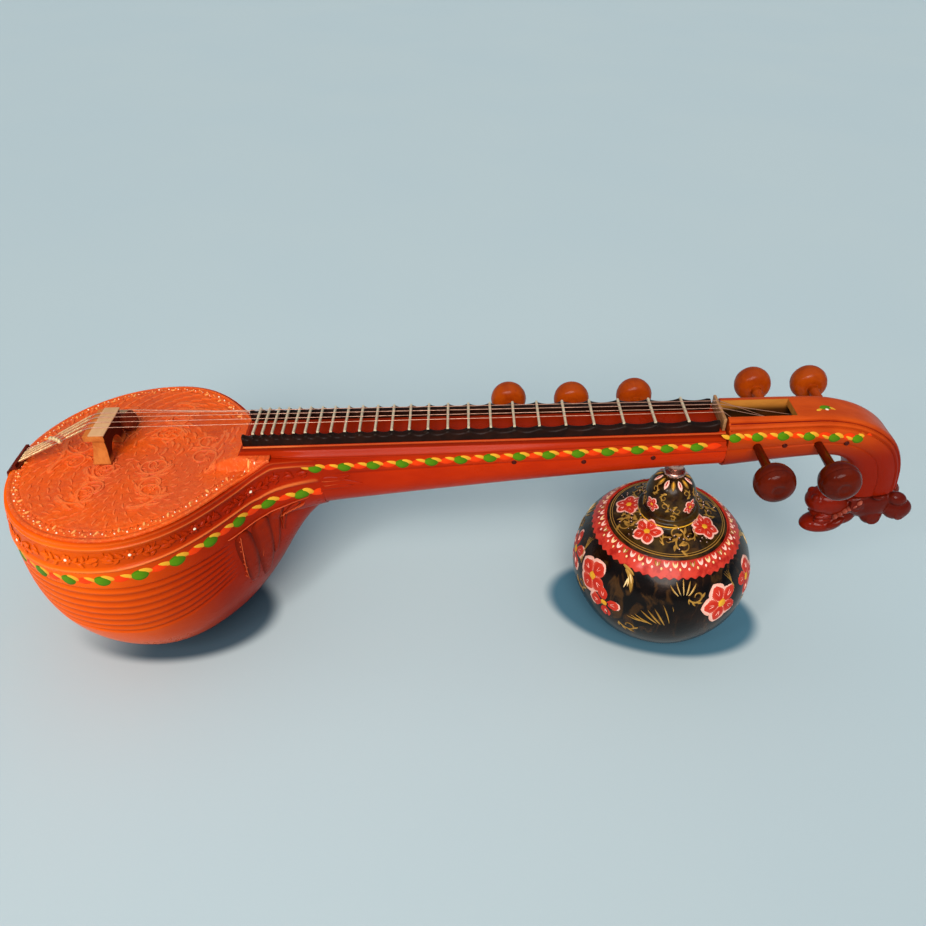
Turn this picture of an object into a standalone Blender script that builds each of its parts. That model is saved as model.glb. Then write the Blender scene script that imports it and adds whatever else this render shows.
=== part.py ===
# A South Indian veena, modelled piece by piece at its real size, in metres.
#
# Every piece is drawn in the instrument's own frame: X runs from the bridge towards
# the head, Y towards the drone pegs, and Z = 0 is the rim of the sound bowl. One empty
# then lays the whole instrument down on its bowl and its gourd.
import math

import bmesh
import bpy
from mathutils import Matrix, Vector

# Clearances
GAP = 0.0003                  # between pieces that touch
PEG_CLEARANCE = 0.0003        # round a peg in its hole
RUNNING_CLEARANCE = 0.0004    # round a string in its tuning bead

# Strings and frets
SCALE_LENGTH = 0.860          # bridge edge to nut
FRET_COUNT = 24
FRETS_PER_OCTAVE = 12
FRET_WIDTH = 0.0034
FRET_HEIGHT = 0.0034
FRET_HALF_LENGTH_NUT = 0.0282
FRET_HALF_LENGTH_BODY = 0.0304
STRING_RADIUS = 0.0004
LEADER_RADIUS = 0.0008        # the thick wire between bridge and tail
MAIN_STRINGS_AT_BRIDGE = (-0.0165, -0.0035, 0.0085, 0.0185)
MAIN_STRINGS_AT_NUT = (-0.0135, -0.0042, 0.0052, 0.0138)
MAIN_STRINGS_AT_TAIL = (-0.0150, -0.0090, -0.0030, 0.0030)
DRONE_STRINGS_AT_TAIL = (0.0080, 0.0120, 0.0160)
DRONE_ANGLES = (25.0, 45.0, 62.0)   # where each drone string crosses the side bridge

# Sound bowl
BOWL_CENTRE_X = 0.033
RIM_RADIUS = 0.182
BELLY_SWELL = 0.0115          # the belly is this much wider than the rim
BELLY_RADIUS = RIM_RADIUS + BELLY_SWELL
BELLY_DROP = 0.1055           # widest level, below the rim
BELLY_FULLNESS = 2.3          # 2 would be an ellipse below the widest level
BOWL_DEPTH = 0.3065
RIM_FALL = 0.006              # the rim dips this far towards the tail
RIM_FALL_START_X = 0.100
BOWL_WALL = 0.007
BOWL_FLOOR = 0.012
INNER_SHARES = (0.8874, 0.7993, 0.6688, 0.5220, 0.3589, 0.1958)   # rows of the hollow, by depth
SEAT_WIDTH = 0.012            # rim ledge that carries the sound board
SEAT_RELIEF = 0.002           # the ledge stays this far under the board's ramp
FOOT_CUT = 0.002              # depth of the flat that the bowl stands on
PEAR_SQUEEZE = 0.07           # how far the plan narrows towards the neck
ROOT_END_X = 0.300            # joint between bowl and neck
ROOT_HALF_WIDTH = 0.0465
ROOT_BLEND = 4.3              # higher is a sharper shoulder
ROOT_FLARE = 0.066            # how slowly the root swells into the bowl
ROOT_RISE = 0.020             # height of the root's top over the rim
RAMP_START_X = 0.135
RAMP_SIDE_SHIFT = 0.052
RAMP_LENGTH = 0.060
RAMP_SIDE_Y = 0.040
RAMP_SIDE_WIDTH = 0.015

# Sound board
BOARD_THICKNESS = 0.0032
BOARD_DOME = 0.007
BOARD_INSET = 0.004
BOARD_END_X = 0.2347

# Neck
NECK_PAST_NUT = 0.0062        # from the string's end on the nut
NECK_END_X = SCALE_LENGTH + NECK_PAST_NUT
NECK_HALF_WIDTH_BODY = 0.0455
NECK_HALF_WIDTH_NUT = 0.0425
KEEL_DROP_BODY = 0.083
KEEL_DROP_NUT = 0.028
KEEL_CURVE = 1.25
BELLY_ROUND_BODY = 0.053      # height of the rounded underside
BELLY_ROUND_NUT = 0.033
NECK_WALL = 0.0075
NECK_FLOOR = 0.010
HOLLOW_BEFORE_END = 0.0812
HOLLOW_END_X = NECK_END_X - HOLLOW_BEFORE_END

# Finger board platform
LAST_FRET_X = SCALE_LENGTH * 2.0 ** (-FRET_COUNT / FRETS_PER_OCTAVE)
COVER_BEFORE_FRETS = 0.025
COVER_START_X = LAST_FRET_X - COVER_BEFORE_FRETS
COVER_FRONT_SLOPE = 0.010
COVER_FRONT_RAISE = 0.0045    # the front end stands on the sound board
COVER_TOP = 0.038
COVER_PAST_NUT = 0.0035
COVER_END_X = SCALE_LENGTH + COVER_PAST_NUT
LEDGE_HALF_WIDTH_BODY = 0.0370
LEDGE_HALF_WIDTH_NUT = 0.0335
LEDGE_HEIGHT = 0.0030
GROOVE_HEIGHT = 0.0055
GROOVE_DEPTH = 0.0022

# Wax rails
RAIL_BEFORE_FRETS = 0.016
RAIL_START_X = LAST_FRET_X - RAIL_BEFORE_FRETS
RAIL_BEFORE_NUT = 0.0055      # from the string's end on the nut
RAIL_END_X = SCALE_LENGTH - RAIL_BEFORE_NUT
RAIL_TOP = 0.0539
RAIL_WIDTH = 0.0115
RAIL_DIP = 0.0030
RAIL_EDGE_INSET = 0.0014      # behind the platform's ledge
RAIL_STEPS = 4                # points between two frets

# Nut
NUT_THICKNESS = 0.0065
NUT_TOP = 0.0582
NUT_HALF_LENGTH = 0.0300

# Bridge
BRIDGE_FOOT_Z = 0.0108
BRIDGE_TOP_Z = 0.0603
BRIDGE_HALF_SPAN = 0.0330
BRIDGE_WAIST = 0.0045
BRIDGE_FOOT_BACK_X = -0.0190
BRIDGE_BACK_X = -0.0090       # back of the legs, under the plank
BRIDGE_FRONT_X = 0.0070
PLANK_BACK_X = -0.0190
PLANK_FRONT_X = 0.0105
PLANK_THICKNESS = 0.0095
BRIDGE_ARCH_HALF_WIDTH = 0.0190
BRIDGE_ARCH_HEIGHT = 0.0240
CAP_BACK_X = -0.0100
CAP_FRONT_X = 0.0120
CAP_HALF_SPAN = 0.0340
CAP_THICKNESS = 0.0017
SIDE_BRIDGE_RADIUS = 0.0370
SIDE_BRIDGE_DEPTH = 0.0240
SIDE_BRIDGE_FRONT_X = 0.0140
SIDE_BRIDGE_BACK_X = -0.0020
SIDE_CAP_THICKNESS = 0.0010

# Tailpiece
TAIL_HALF_WIDTH = 0.0240
TAIL_THICKNESS = 0.0022
TAIL_START_X = -0.1315
TAIL_BAR_X = -0.1400
TAIL_BAR_LENGTH = 0.0045
TAIL_BAR_HEIGHT = 0.0060      # over the plate that it stands on
TAIL_DROP = 0.0450

# Tuning beads
BEAD_RADIUS = 0.0036
BEAD_LENGTH = 0.0050
BEAD_X = -0.0760
BEAD_STAGGER = 0.0090

# Peg box and head
HEAD_START_X = NECK_END_X + GAP
# Points of the head's outer and inner edge: distance beyond the neck, height.
HEAD_OUTER = ((GAP, 0.0550), (0.0488, 0.0550), (0.0988, 0.0550), (0.1418, 0.0540),
              (0.1828, 0.0450), (0.2158, 0.0290), (0.2408, 0.0080), (0.2568, -0.0180),
              (0.2668, -0.0480), (0.2718, -0.0830))
HEAD_INNER = ((GAP, -0.0280), (0.0488, -0.0215), (0.0958, -0.0160), (0.1318, -0.0130),
              (0.1578, -0.0150), (0.1758, -0.0240), (0.1878, -0.0380), (0.1948, -0.0550),
              (0.1973, -0.0730), (0.1978, -0.0920))
HEAD_TOP_SHARE = 0.62         # width of the flat top over the full width
HEAD_HALF_WIDTHS = (0.0425, 0.0420, 0.0412, 0.0405, 0.0395, 0.0385, 0.0370, 0.0350,
                    0.0330, 0.0310)
BOX_HALF_WIDTH = 0.0200
BOX_FLOOR_Z = 0.004
BOX_MOUTH_LENGTH = 0.0948     # beyond the end of the neck
BOX_MOUTH_END_X = NECK_END_X + BOX_MOUTH_LENGTH
BOX_ROOF_Z = 0.0445
BOX_ROOF_END_Z = 0.033
BOX_LENGTH = 0.1778           # beyond the end of the neck
BOX_END_X = NECK_END_X + BOX_LENGTH

# Pegs
PEG_HEAD_RADIUS = 0.0268
NEAR_HEAD_START = 0.1000      # distance of the bun's inner side from the middle plane
FAR_HEAD_START = 0.0955
PEG_HEAD_LENGTH = 0.0370
PEG_SHAFT_RADIUS = 0.0072
PEG_TIP_RADIUS = 0.0048
PEG_TIP_PROUD = 0.0010
MAIN_PEG_Z = 0.019
MAIN_PEG_PAST_NECK = (0.0408, 0.0788, 0.1248, 0.1638)   # near and far side in turn
MAIN_PEG_X = tuple(NECK_END_X + past for past in MAIN_PEG_PAST_NECK)
DRONE_PEG_BEFORE_END = (0.2932, 0.1962, 0.1002)
DRONE_PEG_X = tuple(NECK_END_X - before for before in DRONE_PEG_BEFORE_END)
DRONE_PEG_Z = (0.0045, 0.0015, 0.0050)

# Gourd
GOURD_BEFORE_NECK_END = 0.0530
GOURD_X = NECK_END_X - GOURD_BEFORE_NECK_END
GOURD_DROP = 0.355            # floor plane below the rim level, at the gourd
GOURD_RADIUS = 0.1385
GOURD_CENTRE_Z = -0.2366
GOURD_TOP_HEIGHT = 0.1192
GOURD_BOTTOM_HEIGHT = 0.1320
GOURD_WALL = 0.0050
GOURD_BLANK_MOUTH = 0.030     # the shell is turned this far in, then cut flat
GOURD_CAP_RADIUS = 0.0905
GOURD_CAP_Z = -0.1522
GOURD_BULB_RADIUS = 0.0390
GOURD_BULB_TOP_Z = -0.0620
STALK_RADIUS = 0.0080
STALK_FLARE_RADIUS = 0.0160
STALK_DEPTH = 0.0200          # length inside the neck
SOCKET_RADIUS = 0.0125
SOCKET_HEIGHT = 0.0090

ROUND_STEPS = 32              # sides of the large turned pieces
SMALL_ROUND_STEPS = 16        # sides of the pegs and the stalk
SHADE_ANGLE = math.radians(35)

REST_ANGLE = math.atan2(GOURD_DROP - (BOWL_DEPTH - FOOT_CUT), GOURD_X - BOWL_CENTRE_X)
FOOT_POINT = Vector((BOWL_CENTRE_X, 0.0, -(BOWL_DEPTH - FOOT_CUT)))
FLOOR_NORMAL = Vector((-math.sin(REST_ANGLE), 0.0, -math.cos(REST_ANGLE)))
UP = Vector((0.0, 0.0, 1.0))
ACROSS = Vector((math.cos(0.1), math.sin(0.1), 0.0))   # start of a turning, off the seams
GOURD_AXIS_POINT = Vector((GOURD_X, 0.0, 0.0))

COLOURS = {
    "lacquer_orange": ((0.62, 0.12, 0.025), 0.25, 0.0),
    "lacquer_red": ((0.50, 0.06, 0.012), 0.25, 0.0),
    "board_lacquer": ((0.66, 0.16, 0.045), 0.30, 0.0),
    "wax": ((0.020, 0.014, 0.012), 0.45, 0.0),
    "fret_brass": ((0.62, 0.52, 0.34), 0.28, 1.0),
    "bone": ((0.66, 0.50, 0.42), 0.40, 0.0),
    "bridge_wood": ((0.70, 0.30, 0.08), 0.40, 0.0),
    "cap_brass": ((0.66, 0.48, 0.26), 0.40, 1.0),
    "dark_wood": ((0.12, 0.03, 0.015), 0.35, 0.0),
    "dark_metal": ((0.10, 0.08, 0.07), 0.40, 1.0),
    "string_steel": ((0.70, 0.66, 0.60), 0.25, 1.0),
    "bead_brass": ((0.80, 0.60, 0.28), 0.25, 1.0),
    "peg_orange": ((0.55, 0.16, 0.03), 0.20, 0.0),
    "peg_red": ((0.20, 0.025, 0.012), 0.18, 0.0),
    "gourd_black": ((0.030, 0.018, 0.012), 0.15, 0.0),
    "stalk_metal": ((0.45, 0.25, 0.20), 0.25, 1.0),
}


def clear_scene():
    for item in list(bpy.data.objects):
        bpy.data.objects.remove(item, do_unlink=True)


def make_material(name):
    colour, roughness, metallic = COLOURS[name]
    material = bpy.data.materials.get(name)
    if material is None:
        material = bpy.data.materials.new(name)
        material.use_nodes = True
        shader = material.node_tree.nodes["Principled BSDF"]
        shader.inputs["Base Color"].default_value = (*colour, 1.0)
        shader.inputs["Roughness"].default_value = roughness
        shader.inputs["Metallic"].default_value = metallic
        material.diffuse_color = (*colour, 1.0)
    return material


def make_rest_frame():
    frame = bpy.data.objects.new("rest_frame", None)
    bpy.context.scene.collection.objects.link(frame)
    frame.rotation_euler = (0.0, -REST_ANGLE, 0.0)
    turn = Matrix.Rotation(-REST_ANGLE, 3, "Y")
    frame.location = -(turn @ FOOT_POINT)
    return frame


def add_object(name, mesh, material, origin, smooth=True):
    piece = bpy.data.objects.new(name, mesh)
    bpy.context.scene.collection.objects.link(piece)
    piece.parent = REST_FRAME
    piece.location = origin
    mesh.materials.append(make_material(material))
    if smooth:
        mesh.shade_smooth()
        mesh.set_sharp_from_angle(angle=SHADE_ANGLE)
    return piece


def finish_mesh(name, bm, material, origin=(0.0, 0.0, 0.0), smooth=True):
    bmesh.ops.recalc_face_normals(bm, faces=bm.faces)
    bmesh.ops.translate(bm, verts=bm.verts, vec=-Vector(origin))
    mesh = bpy.data.meshes.new(name)
    bm.to_mesh(mesh)
    bm.free()
    return add_object(name, mesh, material, origin, smooth)


def ease(t):
    t = min(1.0, max(0.0, t))
    return t * t * (3.0 - 2.0 * t)


def mix(a, b, t):
    return a + (b - a) * t


def smooth_path(points, steps):
    # A curve through the points, with the same number of steps in each span.
    padded = [points[0], *points, points[-1]]
    path = []
    for i in range(1, len(padded) - 2):
        p0, p1, p2, p3 = (Vector(p) for p in padded[i - 1:i + 3])
        for step in range(steps):
            t = step / steps
            bend = 2 * p0 - 5 * p1 + 4 * p2 - p3
            twist = 3 * p1 - p0 - 3 * p2 + p3
            path.append(0.5 * (2 * p1 + (p2 - p0) * t + bend * t * t + twist * t ** 3))
    path.append(Vector(points[-1]))
    return path


def loft(rings, cap_start=True, cap_end=True, closed=False):
    # Rings of equal length joined side by side, with flat caps or a closed tube.
    bm = bmesh.new()
    rows = [[bm.verts.new(p) for p in ring] for ring in rings]
    count = len(rows[0])
    pairs = list(zip(rows, rows[1:]))
    if closed:
        pairs.append((rows[-1], rows[0]))
    for low, high in pairs:
        for i in range(count):
            j = (i + 1) % count
            bm.faces.new((low[i], low[j], high[j], high[i]))
    if cap_start and not closed:
        bm.faces.new(rows[0][::-1])
    if cap_end and not closed:
        bm.faces.new(rows[-1])
    return bm


def close_with_pole(bm, ring_verts, pole):
    tip = bm.verts.new(pole)
    count = len(ring_verts)
    for i in range(count):
        bm.faces.new((ring_verts[i], ring_verts[(i + 1) % count], tip))


def extruded(outline, start, sweep):
    # A closed outline at one end of the sweep vector.
    bm = bmesh.new()
    face = bm.faces.new([bm.verts.new(Vector(p) + Vector(start)) for p in outline])
    grown = bmesh.ops.extrude_face_region(bm, geom=[face])
    moved = [item for item in grown["geom"] if isinstance(item, bmesh.types.BMVert)]
    bmesh.ops.translate(bm, verts=moved, vec=Vector(sweep))
    return bm


def turned(profile, centre, axis, across, steps, closed):
    # A profile of (radius, height) turned about an axis through the centre.
    bm = bmesh.new()
    axis = Vector(axis)
    across = Vector(across)
    verts = [bm.verts.new(Vector(centre) + axis * h + across * r) for r, h in profile]
    edges = [bm.edges.new(pair) for pair in zip(verts, verts[1:])]
    if closed:
        edges.append(bm.edges.new((verts[-1], verts[0])))
    bmesh.ops.spin(bm, geom=verts + edges, cent=centre, axis=axis, angle=2 * math.pi,
                   steps=steps, use_merge=True, use_duplicate=False)
    bmesh.ops.remove_doubles(bm, verts=bm.verts, dist=0.00001)
    return bm


def cut(piece, cutter_bm, name):
    mesh = bpy.data.meshes.new(name)
    bmesh.ops.recalc_face_normals(cutter_bm, faces=cutter_bm.faces)
    cutter_bm.to_mesh(mesh)
    cutter_bm.free()
    return combine(piece, mesh, name, "DIFFERENCE")


def join(piece, added_bm, name):
    mesh = bpy.data.meshes.new(name)
    bmesh.ops.recalc_face_normals(added_bm, faces=added_bm.faces)
    added_bm.to_mesh(mesh)
    added_bm.free()
    return combine(piece, mesh, name, "UNION")


def combine(piece, mesh, name, operation):
    tool = bpy.data.objects.new(name, mesh)
    bpy.context.scene.collection.objects.link(tool)
    tool.parent = REST_FRAME
    tool.hide_render = True
    tool.display_type = "WIRE"
    modifier = piece.modifiers.new(name, "BOOLEAN")
    modifier.operation = operation
    modifier.solver = "EXACT"
    modifier.object = tool
    return tool


# Shapes shared by the bowl, the board and the neck

def bowl_radius(z):
    if z > -BELLY_DROP:
        height = BELLY_DROP / math.sqrt(1.0 - (RIM_RADIUS / BELLY_RADIUS) ** 2)
        share = ((z + BELLY_DROP) / height) ** 2
    else:
        share = (-(z + BELLY_DROP) / (BOWL_DEPTH - BELLY_DROP)) ** BELLY_FULLNESS
    return BELLY_RADIUS * math.sqrt(max(0.0, 1.0 - share))


def pear(angle):
    return 1.0 - PEAR_SQUEEZE * ease((math.radians(85) - abs(angle)) / math.radians(50))


def keel_z(x):
    t = (x - ROOT_END_X) / (NECK_END_X - ROOT_END_X)
    drop = mix(KEEL_DROP_NUT, KEEL_DROP_BODY, max(0.0, 1.0 - t) ** KEEL_CURVE)
    return -drop


def neck_share(x):
    return min(1.0, max(0.0, (x - ROOT_END_X) / (NECK_END_X - ROOT_END_X)))


def neck_half_width(x):
    return mix(NECK_HALF_WIDTH_BODY, NECK_HALF_WIDTH_NUT, neck_share(x))


def ledge_half_width(x):
    return mix(LEDGE_HALF_WIDTH_BODY, LEDGE_HALF_WIDTH_NUT, neck_share(x))


def root_end_half_width(z):
    round_top = BELLY_ROUND_BODY - KEEL_DROP_BODY
    t = max(0.0, (round_top - z) / BELLY_ROUND_BODY)
    return NECK_HALF_WIDTH_BODY * math.sqrt(max(0.0, 1.0 - t * t))


def root_reach(z):
    end = ROOT_END_X - BOWL_CENTRE_X
    if z > -KEEL_DROP_BODY:
        share = root_end_half_width(z) / ROOT_HALF_WIDTH
        return end / math.sqrt(1.0 - share * share)
    bowl = bowl_radius(z) * pear(0.0)
    keel_bowl = bowl_radius(-KEEL_DROP_BODY) * pear(0.0)
    reach = bowl + (end - keel_bowl) * math.exp((z + KEEL_DROP_BODY) / ROOT_FLARE)
    return (reach ** ROOT_BLEND - bowl ** ROOT_BLEND) ** (1.0 / ROOT_BLEND)


def blended_radius(angle, z):
    bowl = bowl_radius(z) * pear(angle)
    forward = math.cos(angle)
    if forward <= 0.0:
        return bowl
    side = math.sin(angle) / ROOT_HALF_WIDTH
    root = 1.0 / math.sqrt(side * side + (forward / root_reach(z)) ** 2)
    return (bowl ** ROOT_BLEND + root ** ROOT_BLEND) ** (1.0 / ROOT_BLEND)


def outline_radius(angle, z):
    forward = math.cos(angle)
    radius = blended_radius(angle, z)
    if forward > 0.0:
        radius = min(radius, (ROOT_END_X - BOWL_CENTRE_X) / forward)
    return radius


def corner_angle(z):
    # Where the blended outline leaves the flat end of the root.
    low, high = 0.0, math.radians(40)
    if blended_radius(low, z) <= ROOT_END_X - BOWL_CENTRE_X:
        return math.radians(1.2)
    for _ in range(40):
        middle = 0.5 * (low + high)
        if blended_radius(middle, z) * math.cos(middle) > ROOT_END_X - BOWL_CENTRE_X:
            low = middle
        else:
            high = middle
    return max(low, math.radians(1.2))


def ring_angles(z, end_steps=3, side_steps=18):
    corner = corner_angle(z)
    half = [corner * k / end_steps for k in range(end_steps)]
    for j in range(side_steps + 1):
        half.append(corner + (math.pi - corner) * (j / side_steps) ** 1.35)
    return half + [-a for a in half[-2:0:-1]]


def ramp_height(x, y):
    start = RAMP_START_X + RAMP_SIDE_SHIFT * ease((abs(y) - RAMP_SIDE_Y) / RAMP_SIDE_WIDTH)
    return ROOT_RISE * ease((x - start) / RAMP_LENGTH)


def rim_dip(x):
    span = RIM_FALL_START_X - BOWL_CENTRE_X + RIM_RADIUS
    return -RIM_FALL * max(0.0, RIM_FALL_START_X - x) / span


def rim_height(x, y):
    return ramp_height(x, y) + rim_dip(x)


def polar_point(angle, radius, z):
    return Vector((BOWL_CENTRE_X + radius * math.cos(angle), radius * math.sin(angle), z))


def board_top(x, y):
    reach = math.hypot(x - BOWL_CENTRE_X, y) / (RIM_RADIUS - BOARD_INSET)
    dome = BOARD_DOME * max(0.0, 1.0 - reach * reach)
    return rim_height(x, y) + GAP + BOARD_THICKNESS + dome


# Bowl and board

OUTER_LEVELS = (0.0, -0.004, -0.024, -0.045, -0.060, -0.072, -0.080, -0.084,
                -0.092, -0.104, -0.122, -0.145, -0.172, -0.200, -0.228,
                -0.254, -0.277, -0.294)
SIDE_BLEND = 0.045            # the rim's rise fades out over this height


def bowl_outer_row(level):
    row = []
    for angle in ring_angles(level):
        radius = outline_radius(angle, level)
        point = polar_point(angle, radius, level)
        lift = rim_height(point.x, point.y) * ease(1.0 + level / SIDE_BLEND)
        point.z += lift
        row.append(point)
    return row


def seat_row(share):
    row = []
    for angle in ring_angles(0.0):
        outer = outline_radius(angle, 0.0)
        inner = RIM_RADIUS * pear(angle) - SEAT_WIDTH
        point = polar_point(angle, mix(outer, inner, share), 0.0)
        ramp = ramp_height(point.x, point.y)
        relief = SEAT_RELIEF if point.x < BOARD_END_X else 0.0
        point.z = rim_dip(point.x) + max(0.0, ramp - relief)
        row.append(point)
    return row


def inner_row(level, wall):
    row = []
    for angle in ring_angles(0.0):
        radius = bowl_radius(level) * pear(angle) - wall
        row.append(polar_point(angle, radius, level))
    return row


def make_bowl():
    floor_z = -(BOWL_DEPTH - BOWL_FLOOR)
    rows = [inner_row(-BOWL_DEPTH * share, BOWL_WALL) for share in INNER_SHARES]
    rows.append(inner_row(-0.012, SEAT_WIDTH))
    rows.extend(seat_row(share) for share in (1.0, 0.75, 0.5, 0.25))
    rows.extend(bowl_outer_row(z) for z in OUTER_LEVELS)
    bm = loft(rows, cap_start=False, cap_end=False)
    bm.verts.ensure_lookup_table()
    count = len(rows[0])
    close_with_pole(bm, list(bm.verts)[:count][::-1], (BOWL_CENTRE_X, 0.0, floor_z))
    total = count * len(rows)
    bm.verts.ensure_lookup_table()
    last = [bm.verts[i] for i in range(total - count, total)]
    close_with_pole(bm, last, (BOWL_CENTRE_X, 0.0, -BOWL_DEPTH))
    cut_flat_foot(bm)
    return finish_mesh("kudam_bowl", bm, "lacquer_orange")


def cut_flat_foot(bm):
    geometry = list(bm.verts) + list(bm.edges) + list(bm.faces)
    bmesh.ops.bisect_plane(bm, geom=geometry, dist=0.00001, plane_co=FOOT_POINT,
                           plane_no=FLOOR_NORMAL, clear_outer=True)
    rim = [edge for edge in bm.edges if edge.is_boundary]
    bmesh.ops.holes_fill(bm, edges=rim, sides=0)


def board_outline(angle):
    radius = outline_radius(angle, 0.0) - BOARD_INSET
    forward = math.cos(angle)
    if forward > 0.0:
        radius = min(radius, (BOARD_END_X - BOWL_CENTRE_X) / forward)
    return radius


def board_row(share, top):
    row = []
    for angle in ring_angles(0.0):
        point = polar_point(angle, board_outline(angle) * share, 0.0)
        point.z = board_top(point.x, point.y)
        if not top:
            point.z -= BOARD_THICKNESS
        row.append(point)
    return row


def make_board():
    shares = (0.30, 0.55, 0.74, 0.88, 0.96, 1.0)
    rows = [board_row(share, True) for share in shares]
    rows.extend(board_row(share, False) for share in reversed(shares))
    bm = loft(rows, cap_start=False, cap_end=False)
    count = len(rows[0])
    total = count * len(rows)
    bm.verts.ensure_lookup_table()
    first = [bm.verts[i] for i in range(count)]
    last = [bm.verts[i] for i in range(total - count, total)]
    top = board_top(BOWL_CENTRE_X, 0.0)
    close_with_pole(bm, first[::-1], (BOWL_CENTRE_X, 0.0, top))
    close_with_pole(bm, last, (BOWL_CENTRE_X, 0.0, top - BOARD_THICKNESS))
    return finish_mesh("top_plate", bm, "board_lacquer")


# Neck

def neck_section(x, inset=0.0, floor=0.0, top=ROOT_RISE, steps=5):
    half = neck_half_width(x) - inset
    keel = keel_z(x) + floor
    rounding = mix(BELLY_ROUND_BODY, BELLY_ROUND_NUT, neck_share(x)) - floor
    centre = keel + rounding
    points = [(x, half, top)]
    for k in range(2 * steps + 1):
        a = math.pi * k / (2 * steps)
        points.append((x, half * math.cos(a), centre - rounding * math.sin(a)))
    points.append((x, -half, top))
    return points


def neck_stations(start, end, count):
    return [mix(start, end, i / count) for i in range(count + 1)]


def make_neck():
    start = ROOT_END_X + GAP
    rings = [neck_section(x) for x in neck_stations(start, NECK_END_X, 8)]
    neck = finish_mesh("neck_body", loft(rings), "lacquer_red")
    above = ROOT_RISE + NECK_WALL
    hollow = [neck_section(x, NECK_WALL, NECK_FLOOR, above, 4)
              for x in neck_stations(start + NECK_WALL, HOLLOW_END_X, 6)]
    cut(neck, loft(hollow), "neck_hollow_cutter")
    for x, z in zip(DRONE_PEG_X, DRONE_PEG_Z):
        cut(neck, peg_hole(x, z, 1, neck_half_width(x)), "drone_hole_cutter")
    cut(neck, stalk_bore(), "stalk_bore_cutter")
    return neck


def stalk_bore():
    # A stepped bore: the stalk's shaft above, the socket's seat below.
    top = keel_z(GOURD_X) + STALK_DEPTH + GAP
    seat = socket_top() + GAP
    below = keel_z(GOURD_X) - SOCKET_HEIGHT
    shaft = STALK_RADIUS + GAP
    wide = SOCKET_RADIUS + GAP
    profile = [(0.0, top), (shaft, top), (shaft, seat), (wide, seat), (wide, below),
               (0.0, below)]
    return turned(profile, GOURD_AXIS_POINT, UP, ACROSS, SMALL_ROUND_STEPS, False)


def cover_section(x, bottom):
    ledge = ledge_half_width(x)
    base = neck_half_width(x) - GAP
    under = COVER_TOP - LEDGE_HEIGHT
    low = under - GROOVE_HEIGHT
    half = [(base, bottom), (ledge, low), (ledge - GROOVE_DEPTH, low + 0.001),
            (ledge - GROOVE_DEPTH, under - 0.001), (ledge, under), (ledge, COVER_TOP)]
    right = [(x, y, z) for y, z in half]
    left = [(x, -y, z) for y, z in reversed(half)]
    return right + left


def make_cover():
    raised = ROOT_RISE + COVER_FRONT_RAISE
    seat = ROOT_RISE + GAP
    step_x = BOARD_END_X + 2 * GAP
    front = cover_section(COVER_START_X, raised)
    slanted = []
    for x, y, z in front:
        slanted.append((x + COVER_FRONT_SLOPE * (z - raised) / (COVER_TOP - raised), y, z))
    rings = [slanted, cover_section(step_x, raised), cover_section(step_x + GAP, seat)]
    rings.extend(cover_section(x, seat) for x in neck_stations(ROOT_END_X, COVER_END_X, 1))
    return finish_mesh("neck_cover", loft(rings), "lacquer_red")


# Frets, wax and nut

def fret_x(number):
    return SCALE_LENGTH * 2.0 ** (-number / FRETS_PER_OCTAVE)


def fret_half_length(number):
    return mix(FRET_HALF_LENGTH_NUT, FRET_HALF_LENGTH_BODY, number / FRET_COUNT)


def make_fret(number):
    x = fret_x(number)
    base = RAIL_TOP + GAP
    half = FRET_WIDTH / 2
    arc_z = base + FRET_HEIGHT - half
    outline = [(-half, 0.0, base), (half, 0.0, base)]
    for k in range(5):
        a = math.pi * k / 4
        outline.append((half * math.cos(a), 0.0, arc_z + half * math.sin(a)))
    length = fret_half_length(number)
    bm = extruded(outline, (x, -length, 0.0), (0.0, 2 * length, 0.0))
    return finish_mesh(f"fret_{number:02d}", bm, "fret_brass", (x, 0.0, base))


def rail_top_points():
    # Peaks carry the frets and the wax dips between them.
    knots = [RAIL_START_X]
    knots.extend(fret_x(n) for n in range(FRET_COUNT, 0, -1))
    knots.append(RAIL_END_X)
    points = []
    flat = FRET_WIDTH * 0.6
    for a, b in zip(knots, knots[1:]):
        low = a + flat if a > RAIL_START_X else a
        high = b - flat if b < RAIL_END_X else b
        for k in range(RAIL_STEPS + 1):
            t = k / RAIL_STEPS
            dip = RAIL_DIP * math.sin(math.pi * t) ** 0.8 if 0 < k < RAIL_STEPS else 0.0
            points.append((mix(low, high, t), RAIL_TOP - dip))
    return points


def make_rail(name, side):
    top = rail_top_points()
    base = COVER_TOP + GAP
    rings = []
    for share in (0.0, 1.0):
        ring = []
        for x, z in top:
            outer = ledge_half_width(x) - RAIL_EDGE_INSET
            ring.append((x, side * (outer - share * RAIL_WIDTH), z))
        for x in (RAIL_END_X, RAIL_START_X):
            outer = ledge_half_width(x) - RAIL_EDGE_INSET
            ring.append((x, side * (outer - share * RAIL_WIDTH), base))
        rings.append(ring)
    return finish_mesh(name, loft(rings), "wax", smooth=False)


def make_nut():
    half = NUT_THICKNESS / 2
    base = COVER_TOP + GAP
    outline = [(-half, 0.0, base), (half, 0.0, base), (half, 0.0, NUT_TOP - half * 0.5),
               (half * 0.5, 0.0, NUT_TOP), (-half * 0.5, 0.0, NUT_TOP),
               (-half, 0.0, NUT_TOP - half * 0.5)]
    bm = extruded(outline, (SCALE_LENGTH, -NUT_HALF_LENGTH, 0.0),
                  (0.0, 2 * NUT_HALF_LENGTH, 0.0))
    return finish_mesh("nut", bm, "bone", (SCALE_LENGTH, 0.0, base))


# Bridge

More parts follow.
